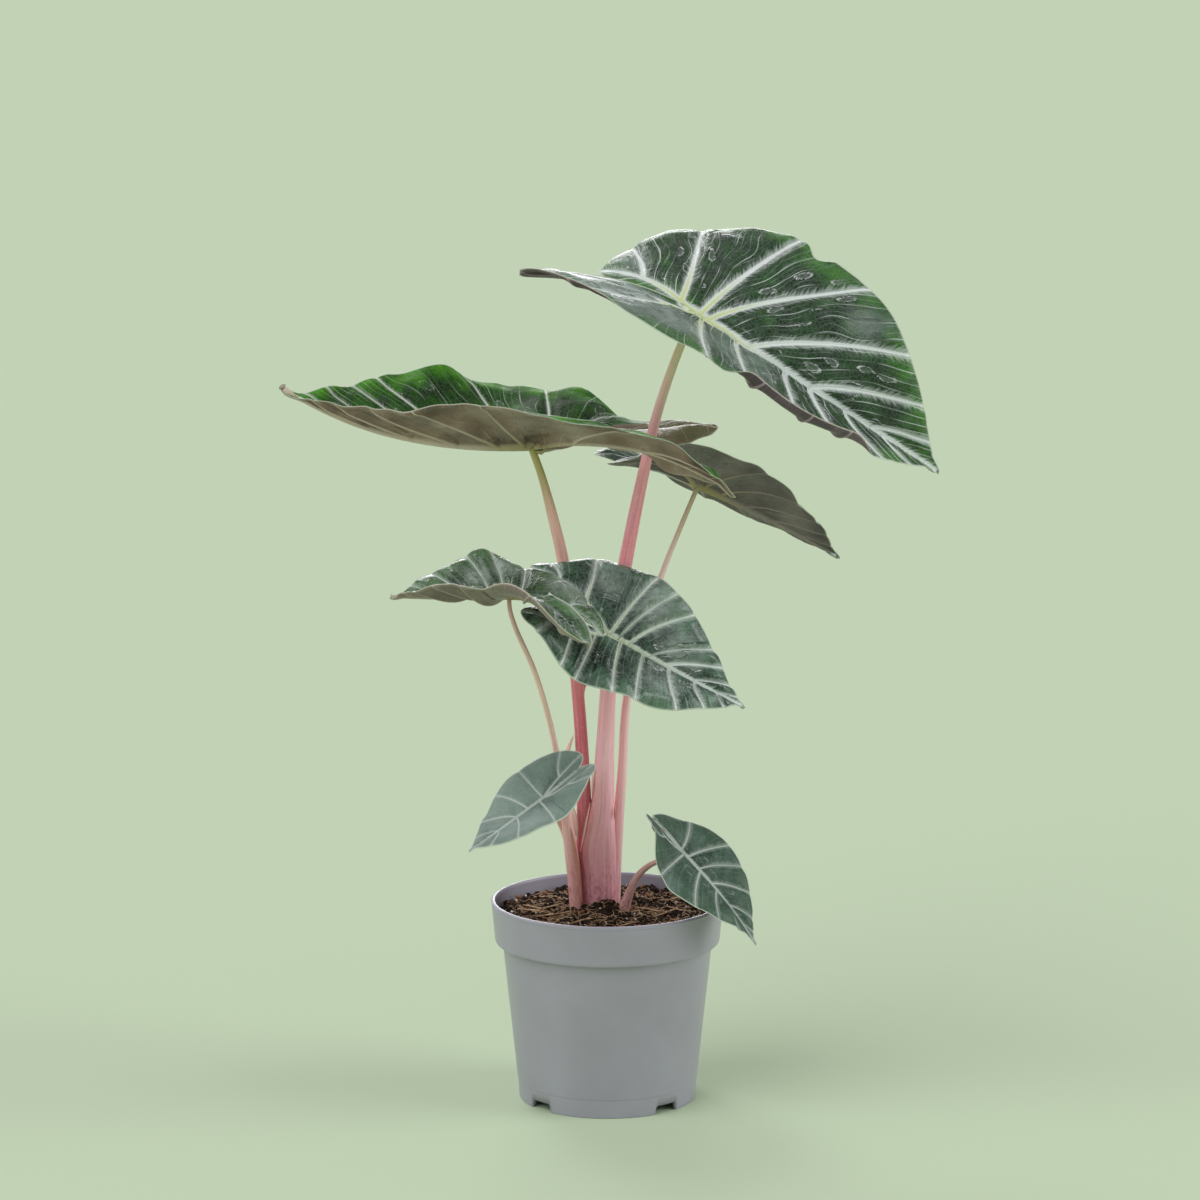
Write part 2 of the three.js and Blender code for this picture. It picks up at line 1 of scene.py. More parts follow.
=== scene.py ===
"""Potted pink dragon alocasia: blades, stalks, potting mix and nursery pot, on a pale studio floor.

Lengths in the tables are millimetres from the pot's own axis, and angles are degrees.
"""

import json
import math

import bmesh
import bpy
import numpy as np
from mathutils import Euler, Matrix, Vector

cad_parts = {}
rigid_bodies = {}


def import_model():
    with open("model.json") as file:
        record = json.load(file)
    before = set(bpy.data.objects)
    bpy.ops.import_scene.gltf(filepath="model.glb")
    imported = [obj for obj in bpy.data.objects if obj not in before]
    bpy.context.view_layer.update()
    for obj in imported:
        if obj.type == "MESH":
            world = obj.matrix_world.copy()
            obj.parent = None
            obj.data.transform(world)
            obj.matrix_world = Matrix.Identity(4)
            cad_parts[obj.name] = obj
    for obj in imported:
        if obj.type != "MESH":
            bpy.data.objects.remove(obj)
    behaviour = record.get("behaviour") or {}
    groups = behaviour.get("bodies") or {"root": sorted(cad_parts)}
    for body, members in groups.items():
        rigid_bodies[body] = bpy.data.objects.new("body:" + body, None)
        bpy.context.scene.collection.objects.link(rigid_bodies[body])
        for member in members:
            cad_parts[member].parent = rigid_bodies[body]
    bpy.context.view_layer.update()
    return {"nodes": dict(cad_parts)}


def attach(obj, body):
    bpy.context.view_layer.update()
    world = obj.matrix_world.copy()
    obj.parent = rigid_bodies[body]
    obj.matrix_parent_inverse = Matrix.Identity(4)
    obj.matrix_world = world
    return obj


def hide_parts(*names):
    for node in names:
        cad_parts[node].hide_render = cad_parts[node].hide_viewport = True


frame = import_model()

MM = 0.001
POT_SET_BACK = 9.0
NOISE_CELLS, NOISE_START = 97, 300.0

# Small helpers


def to_metres(points):
    """Points given from the pot's axis in millimetres, placed in the part's frame."""
    return (np.asarray(points, float) + (0.0, POT_SET_BACK, 0.0)) * MM


def smooth(x):
    """An even rise from 0 to 1 as x goes from 0 to 1, flat on both sides."""
    t = np.clip(x, 0.0, 1.0)
    return t * t * (3.0 - 2.0 * t)


def soft_noise(x, y, cell, seed):
    """Smooth random heights from -1 to 1, with bumps about one cell across."""
    n = NOISE_CELLS
    table = np.random.default_rng(seed).uniform(-1.0, 1.0, (n, n))
    gx, gy = np.asarray(x) / cell + NOISE_START, np.asarray(y) / cell + NOISE_START
    i, j = np.floor(gx).astype(int), np.floor(gy).astype(int)
    fx, fy = smooth(gx - i), smooth(gy - j)
    a, b = table[i % n, j % n], table[(i + 1) % n, j % n]
    c, d = table[i % n, (j + 1) % n], table[(i + 1) % n, (j + 1) % n]
    return (a + (b - a) * fx) * (1 - fy) + (c + (d - c) * fx) * fy


def colour(hex_code):
    """An sRGB hex colour as linear values, opaque."""
    parts = [int(hex_code[i:i + 2], 16) / 255 for i in (1, 3, 5)]
    linear = [p / 12.92 if p <= 0.04045 else ((p + 0.055) / 1.055) ** 2.4 for p in parts]
    return (*linear, 1.0)


def add(tree, kind, inputs=None, stops=None, **settings):
    """Adds a node. Inputs are values, or what is linked: a socket, or a node's first output.

    Stops are a ramp's places and shades."""
    made = tree.nodes.new(kind)
    for key, value in settings.items():
        setattr(made, key, value)
    for key, value in (inputs or {}).items():
        if isinstance(value, bpy.types.Node):
            value = value.outputs[0]
        if isinstance(value, bpy.types.NodeSocket):
            tree.links.new(value, made.inputs[key])
        else:
            made.inputs[key].default_value = value
    if stops:
        ramp = made.color_ramp
        while len(ramp.elements) < len(stops):
            ramp.elements.new(1.0)
        for element, (place, shade) in zip(ramp.elements, stops):
            element.position = place
            element.color = colour(shade) if isinstance(shade, str) else (shade, shade, shade, 1.0)
    return made


def new_material(name):
    """An empty node material and its tree."""
    made = bpy.data.materials.new(name)
    made.use_nodes = True
    made.node_tree.nodes.clear()
    return made, made.node_tree


def mesh_piece(name, points, faces, materials, face_slots=None, measures=None):
    """A smooth mesh in the part's frame; measures are numbers or vectors kept at its vertices."""
    mesh = bpy.data.meshes.new(name)
    mesh.from_pydata(to_metres(points).tolist(), [], [list(f) for f in faces])
    for material in materials:
        mesh.materials.append(material)
    if face_slots is not None:
        mesh.polygons.foreach_set("material_index", np.asarray(face_slots, np.int32))
    for key, values in (measures or {}).items():
        values = np.asarray(values, np.float32)
        kind = "FLOAT" if values.ndim == 1 else "FLOAT_VECTOR"
        held = mesh.attributes.new(key, kind, "POINT")
        held.data.foreach_set("value" if values.ndim == 1 else "vector", values.ravel())
    mesh.shade_smooth()
    mesh.update()
    made = bpy.data.objects.new(name, mesh)
    bpy.context.scene.collection.objects.link(made)
    return made


def grid_triangles(rows, columns, start, flip):
    """Triangles of a grid whose points are numbered row by row from start."""
    i, j = np.meshgrid(np.arange(rows - 1), np.arange(columns - 1), indexing="ij")
    a = start + i * columns + j
    b, c, d = a + columns, a + columns + 1, a + 1
    quads = np.stack([a, b, c, d] if not flip else [a, d, c, b], -1).reshape(-1, 4)
    return np.concatenate([quads[:, [0, 1, 2]], quads[:, [0, 2, 3]]])


# The leaves' shape

# Pairs are the left and the right half, seen from the stalk towards the tip.
# at: where the stalk meets the blade. yaw, pitch and roll turn the blade there. look: its materials.
# width: midrib to margin. widest: how far in front of the stalk that is. full: how far the outline
# stays nearly as wide. lobe: length of the back lobes.
# set: the lobe tips' distance from the midrib's line. sinus: where the notch between them ends.
# droop and lobe_droop: slope of the midrib at the tip and of the lobes at their ends.
# sweep moves the tip sideways. twist raises one half towards the tip and lowers the other.
# tip, stalk and back lift the halves from the midrib; curl bends them across, front and back.
# wave: height of the long waves at the margin. waves: how many half-waves in a length.
# phase: where they start, in half-waves.
# veins, for each half: the row where it meets the margin, the place of its root along the midrib
# (or, when negative, along the lobe's rib) and its size. rolls: half, first and last row, width, angle.
# dent: half, row and depth of a nick. drip: length of the drawn-out tip. blisters: how many at random.
# twisted: half and row of a lobe that is turned underside up. swell widens the lobes.
# sag: half, first and last row, depth of the belly. rib: how stout the main veins are.
# pillow: height of the quilting. ruffle: of the margin's small waves. fine: how dense the mesh is.
# puckers: half, row, place across, length, width, height and turn of a blister.
# Patches of painted sheen: half, row, place across, radius and strength; on an underside they tint a turned
# lobe instead.
PLAIN_LEAF = dict(
    waves=3, drip=3, blisters=0, dent=None, twisted=None, swell=(0, 0), sag=None, puckers=(), bloom=())


def leaf_of(**own):
    """One leaf's measures: its own ones, and the plain leaf's for the rest."""
    return {**PLAIN_LEAF, **own}


LEAVES = {
    "top_right": leaf_of(
        at=(44, -23.6, 407.7), length=143, width=(82, 64), lobe=(62, 70), set=(9, 41), sinus=7, widest=3,
        full=53, yaw=-7, pitch=-33, roll=46, droop=-16, lobe_droop=51, sweep=15, twist=0, tip=(34, 27),
        stalk=(-6, 42), back=(-7, 48), curl_front=(-12, 5), curl_back=(-20, -5),
        wave=(4.6, 0.6), waves=3.5, phase=(0.19, 0.02), look="young", fine=1.0,
        veins=(
            ((-0.8, -0.6, 0.75), (-0.37, -0.2, 1), (0.12, 0.005, 1), (0.38, 0.035, 1), (0.6, 0.205, 1),
             (0.76, 0.46, 0.9), (0.89, 0.71, 0.5)),
            ((-0.8, -0.6, 0.5), (-0.4, -0.22, 0.6), (0.08, 0.02, 0.6), (0.26, 0.16, 0.7), (0.45, 0.36, 0.8),
             (0.6, 0.46, 0.9), (0.74, 0.6, 0.6), (0.87, 0.76, 0.4)),
        ),
        rolls=((1, -1.0, -0.2, 5, 70), (1, 0.16, 0.68, 11, 110), (0, -0.9, 0.1, 4, -25),
               (0, 0.3, 0.95, 4, -25)),
        dent=(0, 0.2, 5.5), drip=5, pillow=2.0, ruffle=0.5, rib=1.5,
        puckers=(
            (0, -0.25, 0.6, 9, 3.6, 1.7, 12), (0, -0.23, 0.28, 7.5, 3.2, 1.6, -25),
            (0, 0.34, 0.37, 6, 3, 1.5, 0), (0, 0.31, 0.27, 5, 2.6, 1.4, 60),
            (0, 0.48, 0.43, 8, 2.8, 1.6, -60), (0, 0.53, 0.3, 6, 2.4, 1.4, -20),
            (0, 0.44, 0.6, 7, 2.6, 1.4, -15), (0, 0.66, 0.47, 7, 2.4, 1.4, 10),
            (0, 0.68, 0.6, 6, 2.2, 1.3, 15), (0, 0.17, 0.76, 5, 4, 1.3, 0), (0, 0.56, 0.86, 6, 2, 1.3, 70),
            (0, 0.57, 0.93, 5, 2, 1.2, 70), (0, 0.18, 0.44, 6, 2.2, 1.3, 20), (0, -0.55, 0.5, 8, 2.2, 1.3, 5),
        ),
        bloom=((1, -0.55, 0.45, 34, 0.85), (1, -0.1, 0.5, 24, 0.75), (1, 0.25, 0.4, 26, 0.55),
               (0, -0.85, 0.5, 13, 0.45), (0, 0.52, 0.88, 11, 0.45)),
    ),
    "top_left": leaf_of(
        at=(-38.6, -8.7, 339.6), length=132, width=(55, 59), lobe=(107, 82), set=(29, 49), sinus=7, widest=9,
        full=54, yaw=167.6, pitch=-4, roll=-5.7, droop=35, lobe_droop=36, sweep=-4, twist=-16,
        tip=(37, 24), stalk=(30, 13), back=(30, 27), curl_front=(18, 18), curl_back=(1, -21),
        wave=(2, 6.3), waves=3.5, phase=(0, 0.69), look="bright", fine=1.0,
        veins=(
            ((-0.7, -0.6, 0.6), (-0.35, -0.25, 0.8), (0.03, 0.02, 0.8), (0.3, 0.12, 0.8), (0.52, 0.28, 0.8),
             (0.7, 0.46, 0.7), (0.84, 0.64, 0.5), (0.93, 0.8, 0.4)),
            ((-0.62, -0.5, 0.6), (-0.28, -0.3, 0.9), (-0.03, -0.1, 0.9), (0.25, 0.06, 1), (0.6, 0.27, 1),
             (0.7, 0.42, 0.45), (0.82, 0.6, 0.5), (0.92, 0.8, 0.5)),
        ),
        rolls=((0, -0.2, 0.8, 4, 30), (1, -0.2, 0.9, 4, -20)),
        drip=4, pillow=3.4, ruffle=3.6, twisted=(1, -0.5), rib=0.8, bloom=((1, -0.85, 0.5, 34, 0.9),),
    ),
    "back_right": leaf_of(
        at=(46.6, 33.2, 313.1), length=85, width=(38, 39), lobe=(52, 56), set=(20, 19.5), sinus=4, widest=10,
        full=36.5, yaw=15.5, pitch=-24.3, roll=-1.7, droop=-8, lobe_droop=20, sweep=1, twist=-3,
        tip=(3, 30), stalk=(3, 38), back=(13.5, 12.5), curl_front=(-15, -14.5), curl_back=(3, 4.5),
        wave=(1.5, 1.9), phase=(-0.41, -0.24), look="dark", fine=0.75,
        veins=(
            ((-0.76, -0.5, 0.6), (-0.4, -0.2, 0.9), (0.08, 0.02, 0.9), (0.34, 0.12, 0.9), (0.56, 0.3, 0.8),
             (0.74, 0.5, 0.7), (0.88, 0.7, 0.5)),
            ((-0.7, -0.5, 0.6), (-0.36, -0.2, 0.9), (0.1, 0.03, 0.9), (0.36, 0.14, 0.9), (0.58, 0.32, 0.8),
             (0.76, 0.52, 0.7), (0.89, 0.72, 0.5)),
        ),
        rolls=((0, -0.2, 0.9, 3, -20), (1, -0.2, 0.9, 3, -20)),
        blisters=8, pillow=2.2, ruffle=1.2, rib=0.9,
    ),
    "middle_left": leaf_of(
        at=(-48.9, -58.5, 271.9), length=62.6, width=(29, 30), lobe=(52.5, 52.5), set=(18.5, 4), sinus=21,
        widest=11, full=27, yaw=164, pitch=-4, roll=-4, droop=2.5, lobe_droop=50, sweep=-2.7, twist=-12,
        tip=(27, 24), stalk=(19, 22), back=(-9, 5), curl_front=(16.5, 16), curl_back=(-5, -17),
        wave=(-0.7, 1.9), phase=(0, -0.44), look="grassy", fine=0.75,
        veins=(
            ((-0.6, -0.55, 0.9), (-0.25, -0.25, 0.9), (0.08, 0.04, 0.9), (0.32, 0.15, 0.8), (0.56, 0.35, 0.7),
             (0.76, 0.56, 0.6), (0.9, 0.78, 0.4)),
            ((-0.55, -0.6, 0.9), (-0.1, -0.12, 1), (0.06, 0.05, 0.9), (0.24, 0.16, 0.8), (0.57, 0.38, 0.9),
             (0.78, 0.62, 0.6), (0.9, 0.8, 0.4)),
        ),
        rolls=((0, -1.0, -0.08, 9, 80), (0, -0.08, 0.9, 4, 30), (1, -0.4, 0.9, 4, -20)),
        drip=0, blisters=6, pillow=4.2, ruffle=2.0, swell=(5.6, 0), sag=(0, -0.5, 0.8, 4.5), rib=0.55,
        puckers=((1, 0.28, 0.49, 6, 5, 2.6, 0), (1, 0.0, 0.64, 7, 3, 1.8, 40),
                 (1, -0.35, 0.56, 8, 4, 1.8, 30), (0, -0.4, 0.4, 8, 3.5, 1.8, 0),
                 (1, 0.2, 0.85, 5, 3, 1.5, 0)),
        bloom=((1, 0.28, 0.49, 7, 0.55), (1, 0.0, 0.7, 9, 0.45), (1, -0.4, 0.6, 12, 0.55),
               (0, -0.35, 0.35, 9, 0.5)),
    ),
    "middle_right": leaf_of(
        at=(0.2, -35.4, 248.3), length=76.4, width=(40.5, 36.5), lobe=(49.5, 46), set=(20.5, 19), sinus=4,
        widest=1.5, full=28.5, yaw=2.6, pitch=-30.5, roll=37.5, droop=1.5, lobe_droop=4.5, sweep=2.5,
        twist=-7.5, tip=(27, -3.5), stalk=(26, 2.5), back=(-1.5, 17), curl_front=(19, -1),
        curl_back=(-22, -4.5), wave=(2.1, 3.3), phase=(-0.64, -0.17), look="blue", fine=0.8,
        veins=(
            ((-0.62, -0.7, 0.7), (-0.27, -0.4, 1), (0.09, 0.004, 1), (0.23, 0.065, 0.45), (0.38, 0.14, 1),
             (0.6, 0.3, 0.4), (0.72, 0.42, 1), (0.84, 0.63, 0.5), (0.93, 0.8, 0.4)),
            ((-0.55, -0.7, 0.8), (-0.23, -0.42, 0.9), (-0.1, -0.15, 0.5), (0.12, 0.09, 1), (0.26, 0.26, 0.7),
             (0.54, 0.45, 1), (0.71, 0.64, 0.7), (0.86, 0.8, 0.5)),
        ),
        rolls=((0, -0.4, 0.9, 4, -25), (1, -0.6, 0.9, 4, -25)),
        drip=4, blisters=4, pillow=4.2, ruffle=1.0, rib=1.15,
        puckers=((0, 0.16, 0.37, 5, 2.6, 1.7, 0), (0, -0.22, 0.63, 9, 4, 2.0, 0),
                 (0, -0.01, 0.84, 7, 3, 1.6, 30), (0, -0.12, 0.52, 6, 2.6, 1.6, 0),
                 (0, 0.19, 0.75, 9, 4, 1.8, -20), (0, 0.57, 0.66, 10, 4, 1.8, 10),
                 (0, 0.3, 0.52, 7, 3.4, 1.6, 10), (1, 0.05, 0.5, 8, 4, 1.4, 0), (1, 0.6, 0.5, 7, 3, 1.2, 0)),
        bloom=((0, 0.25, 0.72, 17, 0.55), (0, 0.6, 0.6, 14, 0.5), (0, -0.15, 0.6, 12, 0.4),
               (1, 0.45, 0.5, 14, 0.3)),
    ),
    "low_left": leaf_of(
        at=(-33, -40.8, 165.3), length=47, width=(20, 21), lobe=(32, 33), set=(6, 6), sinus=23, widest=5,
        full=19, yaw=211, pitch=-28, roll=-15, droop=4, lobe_droop=-7, sweep=1, twist=1,
        tip=(11, 6), stalk=(4, 25), back=(20, 17), curl_front=(-7, -8), curl_back=(0, 7),
        wave=(1.3, 1.1), phase=(-0.41, 0.02), look="small", fine=0.65,
        veins=(
            ((-0.6, -0.5, 0.9), (0.03, 0.04, 1), (0.43, 0.355, 0.9), (0.74, 0.6, 0.5)),
            ((-0.6, -0.5, 0.9), (-0.1, -0.03, 0.9), (0.19, 0.19, 1), (0.53, 0.35, 0.9), (0.78, 0.6, 0.4)),
        ),
        rolls=((0, -0.5, 0.9, 3, -20), (1, -0.5, 0.9, 3, -20)),
        pillow=1.5, ruffle=0.8, rib=0.75, bloom=((0, 0.3, 0.5, 20, 0.3), (1, 0.3, 0.5, 20, 0.3)),
    ),
    "low_right": leaf_of(
        at=(38.8, -29.4, 134.1), length=56.5, width=(25, 25), lobe=(26, 28.5), set=(2, 4), sinus=22, widest=8,
        full=24, yaw=-19.5, pitch=-43, roll=10, droop=-13, lobe_droop=-6, sweep=-1, twist=0,
        tip=(17, 10), stalk=(17, -5), back=(-1, 25), curl_front=(8, -24), curl_back=(2, 5),
        wave=(0.5, 0.7), phase=(0.04, 0.06), look="small_deep", fine=0.65,
        veins=(
            ((-0.38, -0.12, 0.9), (0.05, 0.037, 1), (0.24, 0.183, 0.5), (0.49, 0.356, 0.9), (0.74, 0.6, 0.6),
             (0.89, 0.8, 0.4)),
            ((-0.6, -0.5, 0.6), (-0.12, -0.01, 1), (0.26, 0.21, 1), (0.5, 0.43, 0.8), (0.76, 0.66, 0.5)),
        ),
        rolls=((0, -0.5, 0.9, 3, -25), (1, -0.5, 0.9, 3, 25)),
        pillow=1.7, ruffle=0.8, rib=0.75,
        puckers=((0, 0.12, 0.5, 5, 2, 1.0, 0), (0, 0.0, 0.55, 5, 2, 1.0, 0)),
        bloom=((0, -0.3, 0.5, 9, 0.35), (1, 0.0, 0.9, 8, 0.35)),
    ),
}
# Length of the largest blade, from which the relief of the others is scaled
FULL_LENGTH = 143.0
# How much the side veins curve: 0 is straight, and 1 leaves the midrib at a right angle
VEIN_BOW = 0.55
# The inner edge of a lobe: how much of it runs along the joined stretch, and how its rows crowd there
SINUS_HEAD, SINUS_PACE = 0.25, 1.3


def bezier(points, t):
    """The points at the places t, from 0 to 1, of the curve that the control points draw."""
    rows = [np.stack([np.full_like(t, x), np.full_like(t, y)], -1) for x, y in points]
    while len(rows) > 1:
        rows = [a + (b - a) * t[..., None] for a, b in zip(rows, rows[1:])]
    return rows[0]


def drip_share(place):
    """How far the drawn-out tip has grown at a place along the midrib."""
    return smooth((place - 0.94) / 0.06)


def margin(leaf, half, m):
    """Flat outline of one half: m runs from the lobe's tip, -1, past the widest place, 0, to the tip, 1."""
    wide, lobe, off = leaf["width"][half], leaf["lobe"][half], leaf["set"][half]
    length, widest, full = leaf["length"], leaf["widest"], leaf["full"]
    shoulder = (widest - 0.62 * (lobe + widest), wide)
    turn = (0.02 * length - lobe, off + 0.55 * (wide - off))
    back = bezier([(widest, wide), shoulder, turn, (-lobe, off)], np.clip(-m, 0, 1))
    ahead = [(widest, wide), (widest + full, wide), (0.8 * length, 0.36 * wide), (length, 0)]
    front = bezier(ahead, np.clip(m, 0, 1))
    outline = np.where(m[..., None] < 0, back, front)
    if leaf["dent"] and leaf["dent"][0] == half:
        _, place, depth = leaf["dent"]
        nick = smooth((m - place + 0.06) / 0.06) * smooth((place + 0.055 - m) / 0.05)
        outline = outline - nick[..., None] * depth * np.array([0.25, 0.97])
    swell = leaf["swell"][half] * np.sin(np.pi * np.clip(-m, 0, 1))
    outline = outline + np.stack([0 * swell, swell], -1)
    return outline + np.stack([leaf["drip"] * drip_share(m), 0 * m], -1)


def root_places(leaf, half):
    """Rows of the leaf's field and the places of their roots, at the veins and at both ends."""
    rows = [(-1.0, -1.0), (0.0, 0.0), (1.0, 1.0)] + [v[:2] for v in leaf["veins"][half]]
    return np.array(sorted(rows)).T


def spine(leaf, half, m):
    """The veins' root line: the midrib in front of the stalk, the lobe's rib behind it."""
    lobe, off, length = leaf["lobe"][half], leaf["set"][half], leaf["length"]
    along = np.abs(np.interp(m, *root_places(leaf, half)))
    back = bezier([(0, 0), (-0.42 * lobe, 0.62 * off + 0.03 * length), (-lobe, off)], along)
    front = np.stack([along * length + leaf["drip"] * drip_share(along), 0 * along], -1)
    return np.where(m[..., None] < 0, back, front)


def sinus_edge(leaf, half, n):
    """Inner edge of a lobe, from the stalk to the lobe's tip; it starts along the joined stretch."""
    lobe, off, sinus, length = leaf["lobe"][half], leaf["set"][half], leaf["sinus"], leaf["length"]
    head = np.stack([-sinus * n / SINUS_HEAD, 0 * n], -1)
    bow = (-0.45 * lobe - 0.5 * sinus, 0.12 * off - 0.02 * length)
    t = np.clip((n - SINUS_HEAD) / (1 - SINUS_HEAD), 0, 1)
    rest = bezier([(-sinus, 0), bow, (-0.93 * lobe, 0.25 * off), (-lobe, off)], t)
    return np.where(n[..., None] < SINUS_HEAD, head, rest)


def outer_field(leaf, half, m, w):
    """Flat points from the root line, w = 0, to the margin, w = 1; lines of equal m run as the veins do."""
    root, rim = spine(leaf, half, m), margin(leaf, half, m)
    lag = w + VEIN_BOW * (w * w - w)
    return np.stack([
        root[..., 0] + (rim[..., 0] - root[..., 0]) * lag,
        root[..., 1] + (rim[..., 1] - root[..., 1]) * w,
    ], -1)


def inner_field(leaf, half, n, w):
    """Flat points from a lobe's rib, w = 0, to its inner edge, w = 1."""
    root, rim = spine(leaf, half, -n), sinus_edge(leaf, half, n ** SINUS_PACE)
    return root + (rim - root) * w[..., None]


def bend(leaf, half, flat):
    """Takes flat points of one half to their place on the bent blade."""
    length, side = leaf["length"], 1 - 2 * half
    u, away = flat[:, 0] / length, np.abs(flat[:, 1]) / length
    wide, lobe = leaf["width"][0] / length, leaf["lobe"][0] / length
    steps = np.linspace(-1.2, 1.02, 240)
    slope = np.radians(np.where(
        steps > 0, leaf["droop"] * steps * (0.6 + 0.4 * steps), leaf["lobe_droop"] * -steps / lobe))
    gap = steps[1] - steps[0]
    run = np.concatenate([[0], np.cumsum((np.cos(slope[1:]) + np.cos(slope[:-1])) / 2 * gap)])
    rise = np.concatenate([[0], np.cumsum((np.sin(slope[1:]) + np.sin(slope[:-1])) / 2 * gap)])
    x0 = np.interp(u, steps, run) - np.interp(0, steps, run)
    z0 = np.interp(u, steps, rise) - np.interp(0, steps, rise)
    theta = np.interp(u, steps, slope)
    ahead, back = smooth(u / 0.7), smooth(-u / lobe)
    fold = leaf["stalk"][half] + (leaf["tip"][half] - leaf["stalk"][half]) * ahead
    fold = fold + (leaf["back"][half] - leaf["stalk"][half]) * back + leaf["twist"] * side * np.clip(u, 0, 1)
    curl = leaf["curl_front"][half] + (leaf["curl_back"][half] - leaf["curl_front"][half]) * smooth(
        0.5 - u / (0.8 * lobe))
    fold, rate = np.radians(fold), np.radians(curl) / wide
    rate = np.where(np.abs(rate) < 1e-3, 1e-3, rate)
    edge = fold + rate * away
    out = (np.sin(edge) - np.sin(fold)) / rate
    up = (np.cos(fold) - np.cos(edge)) / rate
    ripple = leaf["wave"][half] / length * (away / wide) ** 1.5 * np.sin(
        np.pi * (leaf["waves"] * u + leaf["phase"][half]))
    up_all = up + np.cos(edge) * ripple
    local = np.stack([
        x0 - np.sin(theta) * up_all,
        side * (out - np.sin(edge) * ripple) + leaf["sweep"] / length * np.clip(u, 0, 1) ** 2,
        z0 + np.cos(theta) * up_all,
    ], -1) * length
    turn = Euler((math.radians(leaf["roll"]), -math.radians(leaf["pitch"]), math.radians(leaf["yaw"])), "XYZ")
    return local @ np.array(turn.to_matrix()).T + leaf["at"]


def crowded(count, pull):
    """Places from 0 to 1, closer together at both ends."""
    t = np.linspace(0, 1, count)
    return t - pull * np.sin(2 * np.pi * t) / (2 * np.pi)


def vein_lines(leaf, half):
    """Flat lines of the main veins of one half, with their half-widths in millimetres."""
    scale = leaf["rib"] * (leaf["length"] / FULL_LENGTH) ** 0.6
    t = np.linspace(0, 1, 40)
    ends = np.linspace(-leaf["sinus"], leaf["length"], 90)
    midrib = 3.5 * scale * (1 - 0.66 * np.clip(ends / leaf["length"], 0, 1))
    lines = [
        (np.stack([ends, 0 * ends], -1), midrib),
        (spine(leaf, half, np.interp(-t, *root_places(leaf, half)[::-1])), 1.7 * scale * (1 - 0.7 * t)),
    ]
    for row, _, size in leaf["veins"][half]:
        half_widths = (0.35 + 1.1 * size) * scale * (1 - 0.62 * t)
        lines.append((outer_field(leaf, half, np.full_like(t, row), t), half_widths))
    return lines


def measure_veins(leaf, half, flat):
    """Distance to the nearest main vein, that vein's half-width, and the place along it, in millimetres.

    The places of each vein start 200 mm after the last one's, so that no two veins look alike."""
    best = np.full(len(flat), 1e9)
    size, along = np.ones(len(flat)), np.zeros(len(flat))
    for number, (line, widths) in enumerate(vein_lines(leaf, half)):
        a, b = line[:-1], line[1:]
        ab = b - a
        span = np.maximum((ab ** 2).sum(-1), 1e-9)
        arc = np.concatenate([[0], np.cumsum(np.sqrt((ab ** 2).sum(-1)))])
        for start in range(0, len(flat), 4000):
            p = flat[start:start + 4000, None, :]
            t = np.clip(((p - a) * ab).sum(-1) / span, 0, 1)
            gap = np.sqrt(((p - a - t[..., None] * ab) ** 2).sum(-1))
            k = gap.argmin(1)
            rows = np.arange(len(k))
            near, tk = gap[rows, k], t[rows, k]
            wide = widths[k] + (widths[k + 1] - widths[k]) * tk
            part = slice(start, start + len(k))
            closer = near / wide < best[part] / size[part]
            best[part] = np.where(closer, near, best[part])
            size[part] = np.where(closer, wide, size[part])
            place = arc[k] + (arc[k + 1] - arc[k]) * tk + 200 * number
            along[part] = np.where(closer, place, along[part])
    return best, size, along


